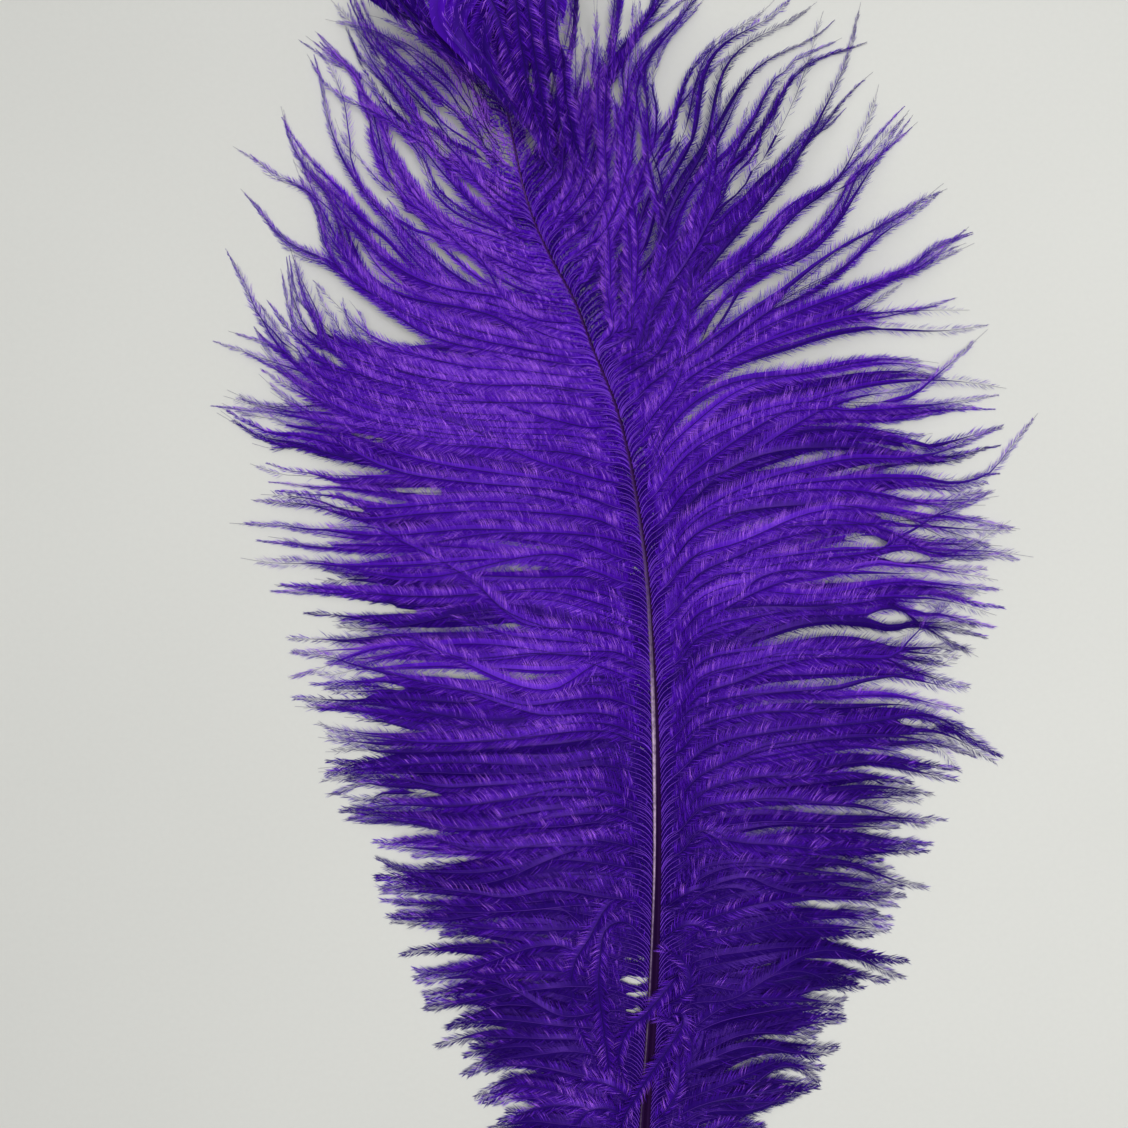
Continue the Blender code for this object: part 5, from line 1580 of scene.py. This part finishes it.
class FEATHER_OT_shaft(bpy.types.Operator):
    """Model the quill and the grooved shaft"""

    bl_idname = "feather.shaft"
    bl_label = "Shaft"

    def execute(self, context):
        settings = context.scene.feather_shaft
        shaft = Shaft()
        clear_selection()
        length = shaft.length * MM
        bpy.ops.mesh.primitive_cylinder_add(
            vertices=SHAFT_SIDES, radius=MM, depth=length, end_fill_type="NGON",
            location=(0, 0, length / 2),
        )
        piece = context.object
        piece.name = piece.data.name = "grooved_shaft"
        bpy.ops.object.transform_apply(location=True, rotation=False, scale=False)
        bpy.ops.object.mode_set(mode="EDIT")
        bpy.ops.mesh.select_all(action="DESELECT")
        bpy.ops.mesh.select_mode(type="EDGE")
        bpy.ops.object.mode_set(mode="OBJECT")
        for edge in piece.data.edges:
            a, b = (piece.data.vertices[v].co for v in edge.vertices)
            edge.select = bool(abs(a.z - b.z) > length / 2)
        bpy.ops.object.mode_set(mode="EDIT")
        bpy.ops.mesh.subdivide(number_cuts=SHAFT_CUTS)
        bpy.ops.mesh.select_mode(type="VERT")
        bpy.ops.mesh.select_all(action="DESELECT")
        bpy.ops.object.mode_set(mode="OBJECT")
        # The line of corners along the top sinks to make the groove.
        for vertex in piece.data.vertices:
            s = vertex.co.z / MM
            top = vertex.co.y > 0.9 * MM
            if top and abs(vertex.co.x) < 0.1 * MM:
                deep = settings.groove * smooth(s, *GROOVE_STARTS) * (1 - smooth(s, *GROOVE_ENDS))
                vertex.co.y -= deep * MM
        add_shaft_uv(piece.data, shaft.length)
        # A curve with the shaft's line and widths bends and tapers it.
        line = bpy.data.curves.new("shaft_line", "CURVE")
        line.dimensions = "3D"
        line.twist_mode = "MINIMUM"
        line.use_radius = True
        dist = np.linspace(0, shaft.length, LINE_POINTS)
        points = along(shaft.line, dist, shaft.dist)
        spline = line.splines.new("POLY")
        spline.points.add(len(points) - 1)
        for target, point, s in zip(spline.points, points, dist):
            target.co = (*((point - np.array([*CENTRE, 0.0])) * MM), 1.0)
            target.radius = shaft.half(s)
        guide = bpy.data.objects.new("shaft_line", line)
        context.scene.collection.objects.link(guide)
        clear_selection()
        context.view_layer.objects.active = piece
        piece.select_set(True)
        bend = piece.modifiers.new("bend", "CURVE")
        bend.object = guide
        bend.deform_axis = "POS_Z"
        bpy.ops.object.modifier_apply(modifier="bend")
        bpy.data.objects.remove(guide, do_unlink=True)
        bpy.ops.object.shade_smooth_by_angle(angle=math.radians(CREASE))
        piece.data.materials.append(dyed_quill_keratin(settings))
        finish_piece(piece, "shaft")
        return {"FINISHED"}


def build_vane(settings, side, sign, seed, locks, loose, strands, stray, curly):
    """All the pieces of one vane. Curly is how many curled barbs there are, and the last root."""
    rng = np.random.default_rng(seed)
    vane = Vane(Shaft(), locks, sign)
    node = side + "_vane"
    names = [f"{side}_barbs_{part}" for part in ("low", "middle", "high", "top")]
    build_barb_pieces(vane_barbs(vane, settings, rng), names, node, settings, rng)
    barbs = loose_barbs(vane, loose + strand_lines(strands, rng), settings, rng)
    barbs += stray_barbs(vane.shaft, stray) + curly_barbs(vane.shaft, sign, *curly, rng)
    build_barb_pieces(barbs, [f"{side}_loose_barbs"], node, settings, rng)


class FEATHER_OT_left_barbs(bpy.types.Operator):
    """Model the barbs of the left vane"""

    bl_idname = "feather.left_barbs"
    bl_label = "Left barbs"

    def execute(self, context):
        settings = context.scene.feather_barbs
        build_vane(settings, "left", -1, SEED, LEFT_LOCKS, LEFT_LOOSE, LEFT_STRANDS, [], (3, 66))
        return {"FINISHED"}


class FEATHER_OT_right_barbs(bpy.types.Operator):
    """Model the barbs of the right vane"""

    bl_idname = "feather.right_barbs"
    bl_label = "Right barbs"

    def execute(self, context):
        settings = context.scene.feather_barbs
        build_vane(
            settings, "right", 1, SEED + 1, RIGHT_LOCKS, RIGHT_LOOSE, RIGHT_STRANDS,
            STRAY + HANGING, (8, 104),
        )
        return {"FINISHED"}


class FEATHER_OT_stage(bpy.types.Operator):
    """Lay the pale floor and set the lamps and the camera"""

    bl_idname = "feather.stage"
    bl_label = "Floor, light and camera"

    def execute(self, context):
        settings = context.scene.feather_stage
        clear_selection()
        bpy.ops.mesh.primitive_plane_add(size=FLOOR_SIZE, location=(0, 0, 0))
        floor = context.object
        floor.name = floor.data.name = "floor"
        floor.data.materials.append(pale_matt_card(settings))
        for name, place, size, share in LAMPS:
            data = bpy.data.lights.new(name, "AREA")
            data.size = size
            data.energy = settings.key_power * share
            lamp = bpy.data.objects.new(name, data)
            lamp.location = Vector(place)
            lamp.rotation_euler = (-Vector(place)).to_track_quat("-Z", "Y").to_euler()
            context.scene.collection.objects.link(lamp)
        world = context.scene.world or bpy.data.worlds.new("studio")
        context.scene.world = world
        world.use_nodes = True
        background = world.node_tree.nodes["Background"]
        background.inputs["Color"].default_value = linear(SKY)
        background.inputs["Strength"].default_value = SKY_STRENGTH
        data = bpy.data.cameras.new("camera")
        data.lens = LENS
        data.sensor_width = SENSOR
        data.dof.use_dof = False
        data.clip_start = 0.01
        camera = bpy.data.objects.new("camera", data)
        eye = EYE[0] - CENTRE[0], EYE[1] - CENTRE[1], EYE_HEIGHT
        camera.location = [part * MM for part in eye]
        context.scene.collection.objects.link(camera)
        context.scene.camera = camera
        context.scene.view_settings.view_transform = "Standard"
        context.scene.view_settings.look = "None"
        return {"FINISHED"}


OPERATORS = (FEATHER_OT_shaft, FEATHER_OT_left_barbs, FEATHER_OT_right_barbs, FEATHER_OT_stage)


class FEATHER_PT_sidebar(bpy.types.Panel):
    """The feather's settings and the buttons that build it"""

    bl_label = "Ostrich Feather"
    bl_idname = "FEATHER_PT_sidebar"
    bl_space_type = "VIEW_3D"
    bl_region_type = "UI"
    bl_category = "Feather"

    def draw(self, context):
        layout = self.layout
        for group in ("feather_shaft", "feather_barbs", "feather_stage"):
            settings = getattr(context.scene, group)
            for name in settings.__annotations__:
                layout.prop(settings, name)
        for operator in OPERATORS:
            layout.operator(operator.bl_idname)


CLASSES = (ShaftSettings, BarbSettings, StageSettings, *OPERATORS, FEATHER_PT_sidebar)


def register():
    """Adds the classes and their settings to Blender."""
    for cls in CLASSES:
        bpy.utils.register_class(cls)
    bpy.types.Scene.feather_shaft = bpy.props.PointerProperty(type=ShaftSettings)
    bpy.types.Scene.feather_barbs = bpy.props.PointerProperty(type=BarbSettings)
    bpy.types.Scene.feather_stage = bpy.props.PointerProperty(type=StageSettings)


def unregister():
    """Takes them out again."""
    for name in ("feather_shaft", "feather_barbs", "feather_stage"):
        delattr(bpy.types.Scene, name)
    for cls in reversed(CLASSES):
        bpy.utils.unregister_class(cls)


def main():
    """Builds the feather and its stage."""
    for name in ("Cube", "Light", "Camera"):
        if name in bpy.data.objects:
            bpy.data.objects.remove(bpy.data.objects[name], do_unlink=True)
    register()
    bpy.ops.feather.shaft()
    bpy.ops.feather.left_barbs()
    bpy.ops.feather.right_barbs()
    bpy.ops.feather.stage()


if __name__ == "__main__":
    main()
